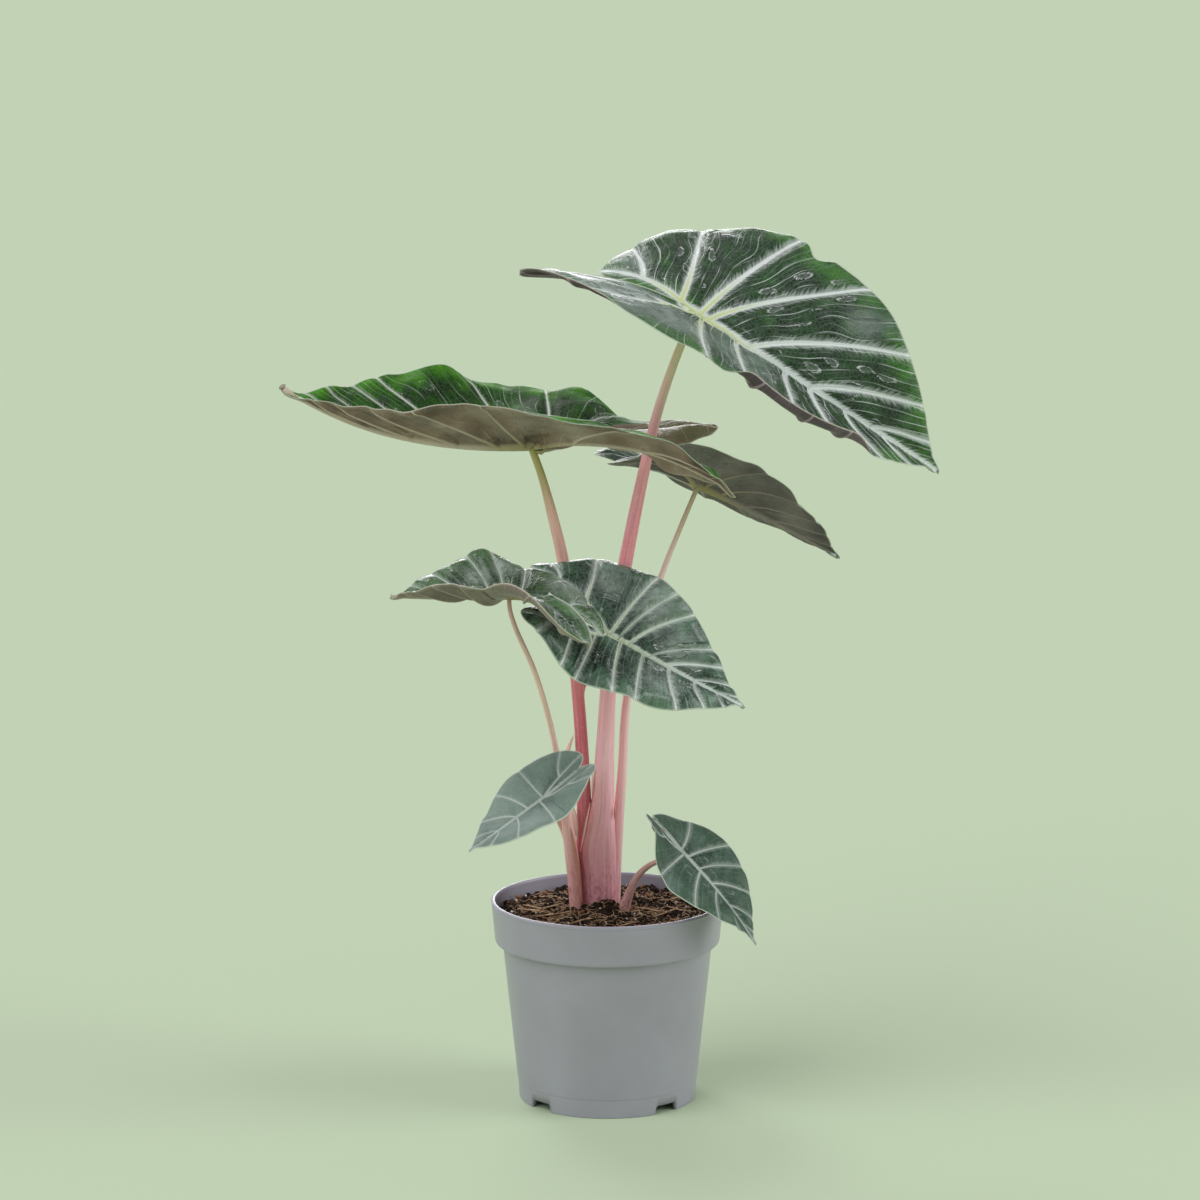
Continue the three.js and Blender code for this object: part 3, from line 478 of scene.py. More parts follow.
def blade_sheet(leaf):
    """Flat points of a whole blade with their triangles; both halves share the midrib's points.

    With each point go its half, its row and its place across (negative on the inner side of a lobe),
    its place between the main veins, and the distance that one such place takes there."""
    per_field = round(21 * leaf["fine"])
    across = crowded(round(56 * leaf["fine"]), 0.55)
    across_in = crowded(round(15 * leaf["fine"]) + 3, 0.5)
    stops = [np.array([-1.0, *(v[0] for v in leaf["veins"][half]), 1.0]) for half in (0, 1)]
    rows = [
        np.append(np.concatenate([a + (b - a) * crowded(per_field, 0.75) for a, b in zip(ends, ends[1:])]), 0)
        for ends in stops
    ]
    ahead = [np.interp(r[r >= 0], *root_places(leaf, half)) for half, r in enumerate(rows)]
    ahead = np.unique(np.round(np.concatenate(ahead), 7))
    joined = SINUS_HEAD ** (1 / SINUS_PACE)
    behind = np.concatenate([*(r[(r <= 0) & (r >= -joined)] for r in rows), [-joined]])
    behind = np.unique(np.round(behind, 7))
    points, halves, tags, triangles = [], [], [], []
    start = 0
    for half in (0, 1):
        places = root_places(leaf, half)
        front = np.interp(ahead, *places[::-1])
        lobe_rows = rows[half][rows[half] < -joined]
        both = np.unique(np.round(np.concatenate([lobe_rows, behind, front]), 7))
        m, w = np.meshgrid(both, across, indexing="ij")
        n, v = np.meshgrid(-both[both <= 0][::-1], across_in, indexing="ij")
        fields = ((outer_field(leaf, half, m, w), m, w), (inner_field(leaf, half, n, v), -n, -v))
        for flat, row, col in fields:
            place = np.interp(row, stops[half], np.arange(len(stops[half])))
            change = np.maximum(np.abs(np.gradient(place, axis=0)), 1e-6)
            step_row = np.gradient(flat, axis=0) / change[..., None]
            step_col = np.gradient(flat, axis=1)
            step_col /= np.maximum(np.linalg.norm(step_col, axis=-1, keepdims=True), 1e-9)
            pace = np.abs(step_row[..., 0] * step_col[..., 1] - step_row[..., 1] * step_col[..., 0])
            points.append(flat.reshape(-1, 2))
            halves.append(np.full(flat.size // 2, half))
            tags.append(np.stack([row, col, place, np.clip(pace, 0, 200)], -1).reshape(-1, 4))
            triangles.append(grid_triangles(*flat.shape[:2], start, flip=half == 1))
            start += flat.size // 2
    points, halves = np.concatenate(points), np.concatenate(halves)
    tags, triangles = np.concatenate(tags), np.concatenate(triangles)
    on_axis = np.abs(points[:, 1]) < 1e-6
    on_rib = on_axis & (points[:, 0] > -1e-6)
    rib = ahead * leaf["length"] + leaf["drip"] * drip_share(ahead)
    spots = np.round(points * 500).astype(int)
    spots[on_rib, 0] = 10 ** 7 + np.abs(points[on_rib, :1] - rib).argmin(1)
    key = np.column_stack([np.where(on_axis, 2, halves), spots])
    _, first, same = np.unique(key, axis=0, return_index=True, return_inverse=True)
    triangles = same.ravel()[triangles]
    a, b, c = triangles.T
    triangles = triangles[(a != b) & (b != c) & (c != a)]
    points, halves, tags = points[first], halves[first], tags[first]
    p = points[triangles]
    area = np.abs(np.cross(p[:, 1] - p[:, 0], p[:, 2] - p[:, 0]))
    return points, halves, tags, triangles[area > 1e-7]


# Relief in millimetres on the largest blade: how far the margin's and the quilting's slopes reach, the
# depth of the frilled margin, and half the sheet's thickness. Then how far the main veins stand out above
# and below, as shares of their half-width, and the half-width past which a keel grows no higher.
MARGIN_SPAN, QUILT_SPAN, FRILL_DEPTH, SHEET_HALF = 9.0, 7.5, 11.0, 0.09
RIB_ABOVE, RIB_BELOW, WIDEST_KEEL = 0.2, 0.7, 1.6


def vertex_normals(points, triangles, passes):
    """Unit normals at the points, each evened out with its neighbours as many times as there are passes."""
    p = points[triangles]
    face = np.cross(p[:, 1] - p[:, 0], p[:, 2] - p[:, 0])
    normals = np.zeros_like(points)
    for k in range(3):
        np.add.at(normals, triangles[:, k], face)
    normals /= np.maximum(np.linalg.norm(normals, axis=1, keepdims=True), 1e-12)
    for _ in range(passes):
        total = normals.copy()
        for a, b in ((0, 1), (1, 2), (2, 0), (1, 0), (2, 1), (0, 2)):
            np.add.at(total, triangles[:, a], normals[triangles[:, b]])
        normals = total / np.maximum(np.linalg.norm(total, axis=1, keepdims=True), 1e-12)
    return normals


def open_edges(triangles):
    """Edges that only one triangle uses, in that triangle's direction."""
    edges = np.concatenate([triangles[:, [0, 1]], triangles[:, [1, 2]], triangles[:, [2, 0]]])
    seen = {(a, b) for a, b in edges.tolist()}
    return np.array([(a, b) for a, b in seen if (b, a) not in seen])


def nearest_rim(flat, rim_points):
    """For each flat point the nearest point of the outline, as its number and its distance."""
    near, which = np.empty(len(flat)), np.empty(len(flat), int)
    for start in range(0, len(flat), 2000):
        part = slice(start, start + 2000)
        gaps = ((flat[part, None, :] - rim_points[None]) ** 2).sum(-1)
        which[part] = gaps.argmin(1)
        near[part] = np.sqrt(gaps.min(1))
    return which, near


def outward(flat, edges):
    """Unit directions across the outline, away from the blade, at the points of its open edges."""
    step = flat[edges[:, 1]] - flat[edges[:, 0]]
    across = np.stack([step[:, 1], -step[:, 0]], -1)
    total = np.zeros_like(flat)
    np.add.at(total, edges[:, 0], across)
    np.add.at(total, edges[:, 1], across)
    return total / np.maximum(np.linalg.norm(total, axis=1, keepdims=True), 1e-9)


def roll_edges(leaf, bent, normals, halves, rows, rim, ahead):
    """Rolls stretches of the margin up, or down where the angle is negative.

    It says how tightly each point is rolled."""
    rolled = np.zeros(len(rim))
    for half, first, last, width, degrees in leaf["rolls"]:
        strength = smooth((rows - first) / 0.1 + 0.3) * smooth((last - rows) / 0.1 + 0.3) * (halves == half)
        mine = (rim < width) & (strength > 0.01)
        past = width - rim[mine]
        turn = math.radians(degrees) * strength[mine]
        radius = width / turn
        in_plane, rise = radius * np.sin(past / radius) - past, radius * (1 - np.cos(past / radius))
        bent[mine] += ahead[mine] * in_plane[:, None] + normals[mine] * rise[:, None]
        tight = min(1.0, abs(degrees) / 90) ** 2
        share = tight * strength[mine] * smooth(1.4 - 1.4 * rim[mine] / width)
        rolled[mine] = np.maximum(rolled[mine], share)
    return rolled


def blister_lift(leaf, flat, halves, seed):
    """Height of the raised blisters between the veins: the listed ones, and small ones at random."""
    draw = np.random.default_rng(seed)
    size = (leaf["length"] / FULL_LENGTH) ** 0.4
    spots = list(leaf["puckers"])
    for _ in range(leaf["blisters"]):
        spots.append((
            draw.integers(0, 2), draw.uniform(-0.5, 0.8), draw.uniform(0.3, 0.8),
            draw.uniform(2.4, 4.5) * size, draw.uniform(1.2, 1.8) * size, draw.uniform(0.5, 0.9) * size,
            draw.uniform(-20, 20)))
    lift = np.zeros(len(flat))
    for half, row, col, long, wide, high, turn in spots:
        spot = outer_field(leaf, half, np.array([row]), np.array([col]))[0]
        along = outer_field(leaf, half, np.array([row]), np.array([col + 0.02]))[0] - spot
        along = along / np.linalg.norm(along)
        c, k = math.cos(math.radians(turn)), math.sin(math.radians(turn))
        along = np.array([c * along[0] - k * along[1], k * along[0] + c * along[1]])
        arm = flat - spot
        lens = 1 - np.clip(np.abs(arm @ along) / (0.5 * long), 0, 1) ** 2
        away = np.abs(arm[:, 0] * along[1] - arm[:, 1] * along[0]) / (0.5 * wide * np.maximum(lens, 0.05))
        lift += (halves == half) * high * smooth(1.25 - away) * np.sqrt(lens)
    return lift


def sheen_and_lobe_tint_share(leaf, flat, halves):
    """How much painted sheen lies on each point; on an underside the same share tints a turned lobe."""
    share = np.zeros(len(flat))
    for half, row, col, radius, strength in leaf["bloom"]:
        spot = outer_field(leaf, half, np.array([row]), np.array([col]))[0]
        gap = np.linalg.norm(flat - spot, axis=1) / radius
        share = np.maximum(share, (halves == half) * strength * smooth(1.25 - gap))
    return share


def build_blade(name, leaf, materials, seed):
    """A leaf blade: a thin bent sheet with quilting, raised veins and rolled margins, closed all round."""
    flat, halves, tags, triangles = blade_sheet(leaf)
    rows, places, pace = tags[:, 0], tags[:, 2], tags[:, 3]
    scale = leaf["length"] / FULL_LENGTH
    side = np.where(halves == 0, 1.0, -1.0)
    mirror = np.stack([np.ones_like(side), side], -1)
    true_flat = flat * mirror
    edges = open_edges(triangles)
    rim_ids = np.unique(edges)
    which, rim = nearest_rim(true_flat, true_flat[rim_ids])
    across = outward(true_flat, edges)[rim_ids][which] * mirror
    gap, size, along = np.zeros(len(flat)), np.ones(len(flat)), np.zeros(len(flat))
    bent, ahead = np.zeros((len(flat), 3)), np.zeros((len(flat), 3))
    for half in (0, 1):
        mine = halves == half
        gap[mine], size[mine], along[mine] = measure_veins(leaf, half, flat[mine])
        bent[mine] = bend(leaf, half, flat[mine])
        step = 0.2 * across[mine]
        ahead[mine] = bend(leaf, half, flat[mine] + step) - bend(leaf, half, flat[mine] - step)
    ahead /= np.maximum(np.linalg.norm(ahead, axis=1, keepdims=True), 1e-9)
    if leaf["sag"]:
        half, first, last, depth = leaf["sag"]
        belly = smooth((rows - first) / 0.4) * smooth((last - rows) / 0.4) * (halves == half)
        belly = belly * np.sin(np.pi * np.clip(tags[:, 1], 0, 1))
        bent[:, 2] -= depth * belly * (0.8 + 0.4 * np.cos(9 * rows))
    frill = 0.45 * (leaf["ruffle"] - 0.5) * soft_noise(9 * rows, halves * 31, 1.0, seed + 6)
    bent += ahead * (frill * smooth(1 - rim / FRILL_DEPTH))[:, None]
    rolled = roll_edges(leaf, bent, vertex_normals(bent, triangles, 2), halves, rows, rim, ahead)
    normals = vertex_normals(bent, triangles, 3)
    u, v = true_flat.T
    inside = smooth(rim / (MARGIN_SPAN * scale ** 0.7))
    pillow = 1 - (1 - np.clip(gap / (QUILT_SPAN * scale ** 0.7), 0, 1)) ** 2
    lift = leaf["pillow"] * scale ** 0.5 * pillow * (0.25 + 0.75 * inside)
    away = smooth(gap / 3) * (0.3 + 0.7 * inside)
    # Uneven waves of the sheet: where, height, width and seed
    for where, height, cell, number in (
            (away, 0.45 * scale ** 0.4, 9, 0), (away, 0.24 * scale ** 0.4, 3.6, 1),
            (1 - inside, 0.4 * scale, 6, 2), (1 - inside, leaf["ruffle"], 15 * scale ** 0.5, 4),
            (smooth(gap / 5), 1.4 * scale, 24, 5)):
        lift += where * height * soft_noise(u, v, cell, seed + number)
    lift += blister_lift(leaf, flat, halves, seed + 3) * smooth(gap / 2.5)
    lift *= 1 - 0.9 * rolled
    cord = np.clip(1 - (gap / size) ** 2, 0, 1)
    keel = np.sqrt(cord) * np.minimum(1, WIDEST_KEEL / size)
    half_thick = SHEET_HALF + 0.22 * smooth(rim / 1.2)
    body = smooth(rim / 2.0)
    top = bent + normals * (lift + half_thick + RIB_ABOVE * cord * size * body)[:, None]
    under = bent + normals * (lift - half_thick - RIB_BELOW * keel * size * body)[:, None]
    count = len(flat)
    below = triangles[:, [0, 2, 1]] + count
    a, b = edges.T
    strip = np.concatenate([np.stack([b, a, a + count], -1), np.stack([b, a + count, b + count], -1)])
    turned_up = np.zeros(len(triangles))
    if leaf["twisted"]:
        half, row = leaf["twisted"]
        turned_up = (halves[triangles].mean(1).round() == half) * (rows[triangles].mean(1) < row) * 1.0
    slots = np.concatenate([turned_up, 1 - turned_up, np.zeros(len(strip))])
    measures = {
        "sheet": np.stack([u, v, 0 * u], -1),
        "field": np.stack([places, pace, rows], -1),
        "vein": np.stack([np.clip(gap / size, 0, 30), along, gap], -1),
        "rim": rim,
        "reach": np.hypot(u, v),
        # Share of painted sheen on the top; on an underside it tints a turned lobe
        "bloom": sheen_and_lobe_tint_share(leaf, flat, halves),
    }
    measures = {key: np.concatenate([values, values]) for key, values in measures.items()}
    return mesh_piece(name, np.concatenate([top, under]), np.concatenate([triangles, below, strip]),
                      materials, slots, measures)


# Stalks

# Points along each stalk from its base: x, y, z, radius, and how much wider than deep it is there
STALKS = {
    "top_right": [
        (-4.2, 5, 88, 6.3, 1.42), (-4.2, 5, 112, 6.3, 1.42), (-4.8, 4.8, 130, 6.2, 1.5),
        (-3.9, 4.6, 139, 6, 1.34), (-2.8, 4.3, 148, 5.8, 1.14), (-2.1, 4, 157, 5.6, 1.02),
        (-1.6, 3.6, 170, 5.2), (-1, 3, 187, 4.6), (0.3, 2, 213, 4.1), (3.3, -1, 245, 3.9),
        (8.9, -4, 279, 3.6), (17.4, -9, 323, 3), (25, -14, 358, 2.5), (37, -20.5, 394, 2.1),
        (44, -23.6, 408.5, 2),
    ],
    "top_left": [
        (-10.5, 6, 88, 5.6), (-11, 6, 112, 5.2), (-11.6, 5.7, 140, 4.2), (-12.4, 4.8, 168, 3.5),
        (-14.5, 3.5, 203, 3.2), (-18.6, 0.5, 250, 3.3), (-22.6, -2, 281, 3.1), (-27.5, -5, 303, 2.7),
        (-33.5, -7.8, 326, 2), (-38.6, -8.7, 340.5, 1.8),
    ],
    "back_right": [
        (2, 7, 88, 4.6), (3, 7.4, 112, 4), (5.2, 8.4, 138, 3), (7.5, 9.6, 168, 2.4), (10, 11, 206, 2.2),
        (16.7, 15.5, 237, 1.8), (28, 21.5, 270, 1.5), (37, 27, 292, 1.3), (46.6, 33.2, 314, 1.2),
    ],
    "middle_right": [
        (-8, 13.5, 88, 3.6), (-9.5, 13.5, 120, 3), (-12, 12, 160, 2.5), (-13.8, 10, 195, 2.1),
        (-13.5, 8.6, 211, 1.9), (-10.6, 4, 220.5, 1.8), (-6, -9, 233, 1.6), (-2.5, -22, 241, 1.5),
        (0.2, -35.4, 248.9, 1.4),
    ],
    "middle_left": [
        (-15, 1.5, 88, 3.5), (-16.8, 0.8, 112, 3.6), (-19.2, -1, 134, 3.4), (-22, -5, 156, 2.6),
        (-25.4, -12, 180, 1.7), (-29, -21, 200, 1.5), (-36.6, -38, 230.5, 1.35), (-46, -54, 256.5, 1.2),
        (-48.4, -57.6, 265.5, 1.1), (-48.9, -58.6, 272.5, 1.05),
    ],
    "low_left": [
        (-17.5, 7, 88, 1.9), (-17.8, 6.8, 110, 1.8), (-19.5, 5.6, 128, 1.6), (-23.5, 2.5, 141, 1.35),
        (-26.5, -5, 149, 1.2), (-28.5, -16, 155, 1.15), (-31, -30, 161, 1.1), (-33, -40.8, 165.8, 1),
    ],
    "low_right": [
        (6.5, -1.5, 88, 2.8), (8.5, -2, 99, 2.8), (11.6, -4, 108.5, 2.3), (15.7, -7, 117.7, 1.8),
        (21.8, -12, 124.7, 1.45), (29.3, -19, 129.3, 1.25), (38.8, -29.4, 134.5, 1.1),
    ],
}
# Thin free margins of the sheaths, where the inner stalks come out: the look and the points
SHEATH_EDGES = (
    ("edge_cream", [(-7.9, 1.2, 158, 0.15, 1), (-7.8, 0.6, 162, 0.5, 1), (-7.6, 0.8, 168, 0.4, 1),
                    (-7.5, 1.2, 173, 0.12, 1)]),
    ("edge_cream", [(-15.4, 0.6, 136, 0.3, 1), (-16.6, 0.8, 142, 1.5, 1), (-17.6, 1.6, 149, 1.4, 1),
                    (-18.6, 2.4, 154.5, 0.2, 1)]),
    ("edge_pale", [(-14, -1.6, 129, 0.2, 1), (-12.4, -1.4, 137, 0.5, 1), (-10.6, -1.2, 146, 0.5, 1),
                   (-8.8, -1.4, 155, 0.15, 1)]),
    ("edge_tan", [(3.6, 0.6, 146, 0.15, 1), (3.8, 0.4, 149.5, 0.5, 1), (3.7, 0.8, 153, 0.12, 1)]),
    ("edge_tan", [(-13, -2.6, 102, 0.5, 1), (-14.2, -3.4, 115, 0.75, 1), (-16, -4, 128, 0.75, 1),
                  (-18.2, -4.4, 139, 0.6, 1), (-20.9, -5.4, 149, 0.15, 1)]),
    ("edge_pale", [(-22, -3, 168, 0.6, 1), (-21.7, -1.5, 175, 1.4, 1), (-20.2, 0.5, 182, 1.2, 1),
                   (-17.3, 2.6, 189.5, 0.2, 1)]),
)
STALK_SIDES = 40


def smooth_path(points, steps):
    """A smooth line through the points, evenly stepped; every column is carried along."""
    p = np.asarray(points, float)
    knots = np.concatenate([[0], np.cumsum(np.sqrt(np.linalg.norm(np.diff(p[:, :3], axis=0), axis=1)))])
    slopes = np.gradient(p, knots, axis=0)
    fine = np.linspace(0, knots[-1], 40 * len(p))
    k = np.clip(np.searchsorted(knots, fine, side="right") - 1, 0, len(p) - 2)
    h = (knots[k + 1] - knots[k])[:, None]
    t = ((fine - knots[k])[:, None]) / h
    line = ((1 + 2 * t) * (1 - t) ** 2 * p[k] + t * (1 - t) ** 2 * h * slopes[k]
            + t * t * (3 - 2 * t) * p[k + 1] + t * t * (t - 1) * h * slopes[k + 1])
    arc = np.concatenate([[0], np.cumsum(np.linalg.norm(np.diff(line[:, :3], axis=0), axis=1))])
    even = np.linspace(0, arc[-1], steps)
    return np.stack([np.interp(even, arc, column) for column in line.T], -1), even


def spokes(centres):
    """For each point of a line: two directions across it, carried along without twisting."""
    ahead = np.gradient(centres, axis=0)
    ahead /= np.linalg.norm(ahead, axis=1, keepdims=True)
    first = np.cross(ahead[0], (0.0, 1.0, 0.0))
    across = [first / np.linalg.norm(first)]
    for t in ahead[1:]:
        step = across[-1] - t * (across[-1] @ t)
        across.append(step / np.linalg.norm(step))
    across = np.array(across)
    return across, np.cross(ahead, across)


def ring_faces(rings, sides):
    """Quads between closed rings of points that are numbered ring by ring."""
    return [
        (low + k, low + (k + 1) % sides, low + sides + (k + 1) % sides, low + sides + k)
        for low in range(0, (rings - 1) * sides, sides) for k in range(sides)]


def tube_faces(rings, sides):
    """The faces of a tube of such rings, with a flat cap at each end."""
    first_cap = tuple(range(sides - 1, -1, -1))
    last_cap = tuple(range((rings - 1) * sides, rings * sides))
    return [*ring_faces(rings, sides), first_cap, last_cap]


def lathe_faces(rings, sides):
    """The faces of such rings with a point at each end; the two points come after the rings."""
    first, last, end = rings * sides, rings * sides + 1, (rings - 1) * sides
    caps = [(first, (k + 1) % sides, k) for k in range(sides)]
    caps += [(last, end + k, end + (k + 1) % sides) for k in range(sides)]
    return ring_faces(rings, sides) + caps


def build_stalk(name, points, materials, seed):
    """A fleshy stalk along its points, with low lengthwise ridges and a rounded upper end."""
    points = np.array([(*row, 1.0)[:5] for row in points], float)
    reach = np.linalg.norm(np.diff(points[:, :3], axis=0), axis=1).sum()
    line, arc = smooth_path(points, round(14 + reach / 1.8))
    centres, radii, stretch = line[:, :3], line[:, 3].copy(), line[:, 4]
    left = arc[-1] - arc
    radii *= np.sqrt(np.clip(1 - (1 - np.clip(left / (1.2 * radii), 0, 1)) ** 2 * 0.8, 0.05, 1))
    across, over = spokes(centres)
    turn = np.linspace(0, 2 * np.pi, STALK_SIDES, endpoint=False)
    ribs = 0.014 * soft_noise(turn[None, :] * 9 / np.pi, arc[:, None] / 60, 1.0, seed)
    flow = 0.025 * soft_noise(turn[None, :] * 2 / np.pi, arc[:, None] / 18, 1.0, seed + 1)
    size = radii[:, None] * (1 + ribs + flow)
    wide = np.cos(turn)[None, :, None] * (across * stretch[:, None])[:, None, :]
    ring = wide + np.sin(turn)[None, :, None] * over[:, None, :]
    skin = centres[:, None, :] + ring * size[..., None]
    rings = len(skin)
    around, radius = np.tile(turn, rings), np.repeat(radii, STALK_SIDES)
    skin = skin.reshape(-1, 3)
    measures = {
        "skin": np.stack([
            np.cos(around) * radius, np.sin(around) * radius, np.repeat(arc, STALK_SIDES)], -1),
        "height": np.repeat(arc / arc[-1], STALK_SIDES),
        "above": skin[:, 2],
    }
    return mesh_piece(name, skin, tube_faces(rings, STALK_SIDES), materials, None, measures)


# Pot and potting mix

RIM_RADIUS, POT_HEIGHT, BAND_HEIGHT, BAND_RADIUS = 60.0, 104.0, 21.5, 57.8
BODY_TOP_RADIUS, BASE_RADIUS, WALL, LIP_WIDTH, FLOOR_HEIGHT = 54.0, 45.8, 1.2, 2.2, 5.5
NOTCH_TURN, NOTCH_WIDTH, NOTCH_HEIGHT = 41.5, 14.0, 4.6
DRAIN_RADIUS, DRAIN_RING, DRAIN_COUNT = 3.0, 30.0, 6
SOIL_HEIGHT, HEAP_HEIGHT, HEAP_SPREAD, CROWN = 97.0, 3.6, 15.0, (-5.0, 5.0)


def rounded(profile):
    """A profile of (radius, height, corner radius) with its corners turned into short arcs."""
    points = []
    count = len(profile)
    for i, (r, z, corner) in enumerate(profile):
        here = np.array([r, z])
        if corner <= 0 or i in (0, count - 1):
            points.append(here)
            continue
        before, after = np.array(profile[i - 1][:2]) - here, np.array(profile[i + 1][:2]) - here
        before, after = before / np.linalg.norm(before), after / np.linalg.norm(after)
        start, end = here + before * corner, here + after * corner
        for t in np.linspace(0, 1, 6):
            points.append((1 - t) ** 2 * start + 2 * t * (1 - t) * here + t * t * end)
    return np.array(points)


def turned(profile, sides):
    """A closed solid of revolution about the pot's axis; the profile starts and ends on the axis."""
    turn = np.linspace(0, 2 * np.pi, sides, endpoint=False)
    inner = profile[1:-1]
    ring = np.stack([
        inner[:, None, 0] * np.cos(turn), inner[:, None, 0] * np.sin(turn),
        np.repeat(inner[:, 1:], sides, 1)], -1).reshape(-1, 3)
    points = np.concatenate([ring, [(0, 0, profile[0][1]), (0, 0, profile[-1][1])]])
    return points, lathe_faces(len(inner), sides)


def pot_profile():
    """The pot's wall from the middle of its underside, up the outside, over the lip and down the inside."""
    bottom = POT_HEIGHT - BAND_HEIGHT
    return rounded([
        (0, FLOOR_HEIGHT, 0),
        (BASE_RADIUS - 3, FLOOR_HEIGHT, 0.6),
        (BASE_RADIUS - 2.4, 0, 0.4),
        (BASE_RADIUS - 0.3, 0, 0.5),
        (BASE_RADIUS + 0.3, 9.6, 0.3),
        (BASE_RADIUS + 0.55, 9.9, 0.2),
        (BODY_TOP_RADIUS, bottom - 0.3, 0.3),
        (BAND_RADIUS - 0.3, bottom, 0.45),
        (BAND_RADIUS + 0.1, bottom + 1.2, 0.5),
        (RIM_RADIUS - 0.4, POT_HEIGHT - 2, 0.3),
        (RIM_RADIUS, POT_HEIGHT - 1.1, 0.5),
        (RIM_RADIUS - 0.7, POT_HEIGHT, 0.9),
        (RIM_RADIUS - LIP_WIDTH, POT_HEIGHT, 0.6),
        (RIM_RADIUS - LIP_WIDTH - 0.4, POT_HEIGHT - 1.2, 0.3),
        (BAND_RADIUS - WALL, bottom + 1.8, 0.6),
        (BODY_TOP_RADIUS - WALL, bottom + 1.0, 0.6),
        (BASE_RADIUS - WALL - 0.8, FLOOR_HEIGHT + WALL, 1.0),
        (0, FLOOR_HEIGHT + WALL, 0),
    ])


def build_pot(material):
    """The turned pot, with the foot's notches and the drain holes cut out of it."""
    pot = mesh_piece("nursery_pot", *turned(pot_profile(), 144), [material])
    cutters = []
    for i in range(4):
        angle = math.radians(NOTCH_TURN + 90 * i)
        low, high, wide = -2.0, NOTCH_HEIGHT, NOTCH_WIDTH / 2
        outline = [(-wide - 0.5, low), (wide + 0.5, low), (wide - 0.3, high - 0.8), (wide - 1.1, high),
                   (-wide + 1.1, high), (-wide + 0.3, high - 0.8)]
        points = []
        for reach in (BASE_RADIUS - 7, BASE_RADIUS + 5):
            for y, z in outline:
                points.append((reach * math.cos(angle) - y * math.sin(angle),
                               reach * math.sin(angle) + y * math.cos(angle), z))
        cutters.append(mesh_piece(f"notch_cut_{i}", points, tube_faces(2, len(outline)), []))
    for i in range(DRAIN_COUNT):
        angle = 2 * math.pi * i / DRAIN_COUNT
        low, high = FLOOR_HEIGHT - 3, FLOOR_HEIGHT + 4
        hole = np.array([(0, low), (DRAIN_RADIUS, low), (DRAIN_RADIUS, high), (0, high)])
        points, faces = turned(hole, 28)
        points = points + (DRAIN_RING * math.cos(angle), DRAIN_RING * math.sin(angle), 0)
        cutters.append(mesh_piece(f"drain_cut_{i}", points, faces, []))
    for cutter in cutters:
        step = pot.modifiers.new(cutter.name, "BOOLEAN")
        step.operation, step.object, step.solver = "DIFFERENCE", cutter, "EXACT"
    bake_modifiers(pot)
    for cutter in cutters:
        bpy.data.objects.remove(cutter)
    return pot


def bake_modifiers(piece):
    """Replaces a piece's mesh by what its modifiers make of it."""
    depsgraph = bpy.context.evaluated_depsgraph_get()
    made = bpy.data.meshes.new_from_object(piece.evaluated_get(depsgraph))
    piece.modifiers.clear()
    piece.data = made
    piece.data.name = piece.name


def soil_height(x, y):
    """The mix's surface: level, heaped round the stalks, with low clods."""
    heap = HEAP_HEIGHT * np.exp(-((np.hypot(x - CROWN[0], y - CROWN[1]) / HEAP_SPREAD) ** 4))
    clods = np.sin(0.31 * x + 1.3) * np.cos(0.27 * y - 0.4) + 0.6 * np.sin(0.53 * y + 0.41 * x)
    return SOIL_HEIGHT + heap + 0.9 * clods


def lumpy_height(x, y):
    """The mix's surface with its lumps and the small mound in front of the stalks."""
    mound = 2.6 * np.exp(-((x + 2) ** 2 + (y + 5) ** 2) / 40)
    return soil_height(x, y) + 0.7 * soft_noise(x, y, 6.5, 11) + mound


def build_soil(material):
    """The body of the mix, with a crumbly top; it fills the pot with a little play at the wall."""
    edge = BAND_RADIUS - WALL + 0.15
    radii = np.linspace(0, edge, 92)[1:]
    turn = np.linspace(0, 2 * np.pi, 260, endpoint=False)
    r, a = np.meshgrid(radii, turn, indexing="ij")
    x, y = r * np.cos(a), r * np.sin(a)
    z = lumpy_height(x, y) + 0.75 * soft_noise(x, y, 2.9, 12) + 0.45 * soft_noise(x, y, 1.3, 13)
    z -= 1.2 * smooth((r - edge + 5) / 5)
    top = np.stack([x, y, z], -1)[::-1].reshape(-1, 3)
    bottom = POT_HEIGHT - BAND_HEIGHT
    skirt = [
        (edge - 0.4, SOIL_HEIGHT - 6), (BAND_RADIUS - WALL - 0.5, bottom + 2.6),
        (BODY_TOP_RADIUS - WALL - 0.5, bottom + 1.6), (BASE_RADIUS - WALL - 1.4, FLOOR_HEIGHT + WALL + 0.3)]
    rings = [np.stack([q * np.cos(turn), q * np.sin(turn), np.full_like(turn, h)], -1)
             for q, h in reversed(skirt)]
    rings = np.concatenate([np.concatenate(rings), top])
    ends = [(0, 0, FLOOR_HEIGHT + WALL + 0.3), (0, 0, float(soil_height(0.0, 0.0)))]
    faces = lathe_faces(len(rings) // len(turn), len(turn))
    return mesh_piece("potting_mix_body", np.concatenate([rings, ends]), faces, [material])


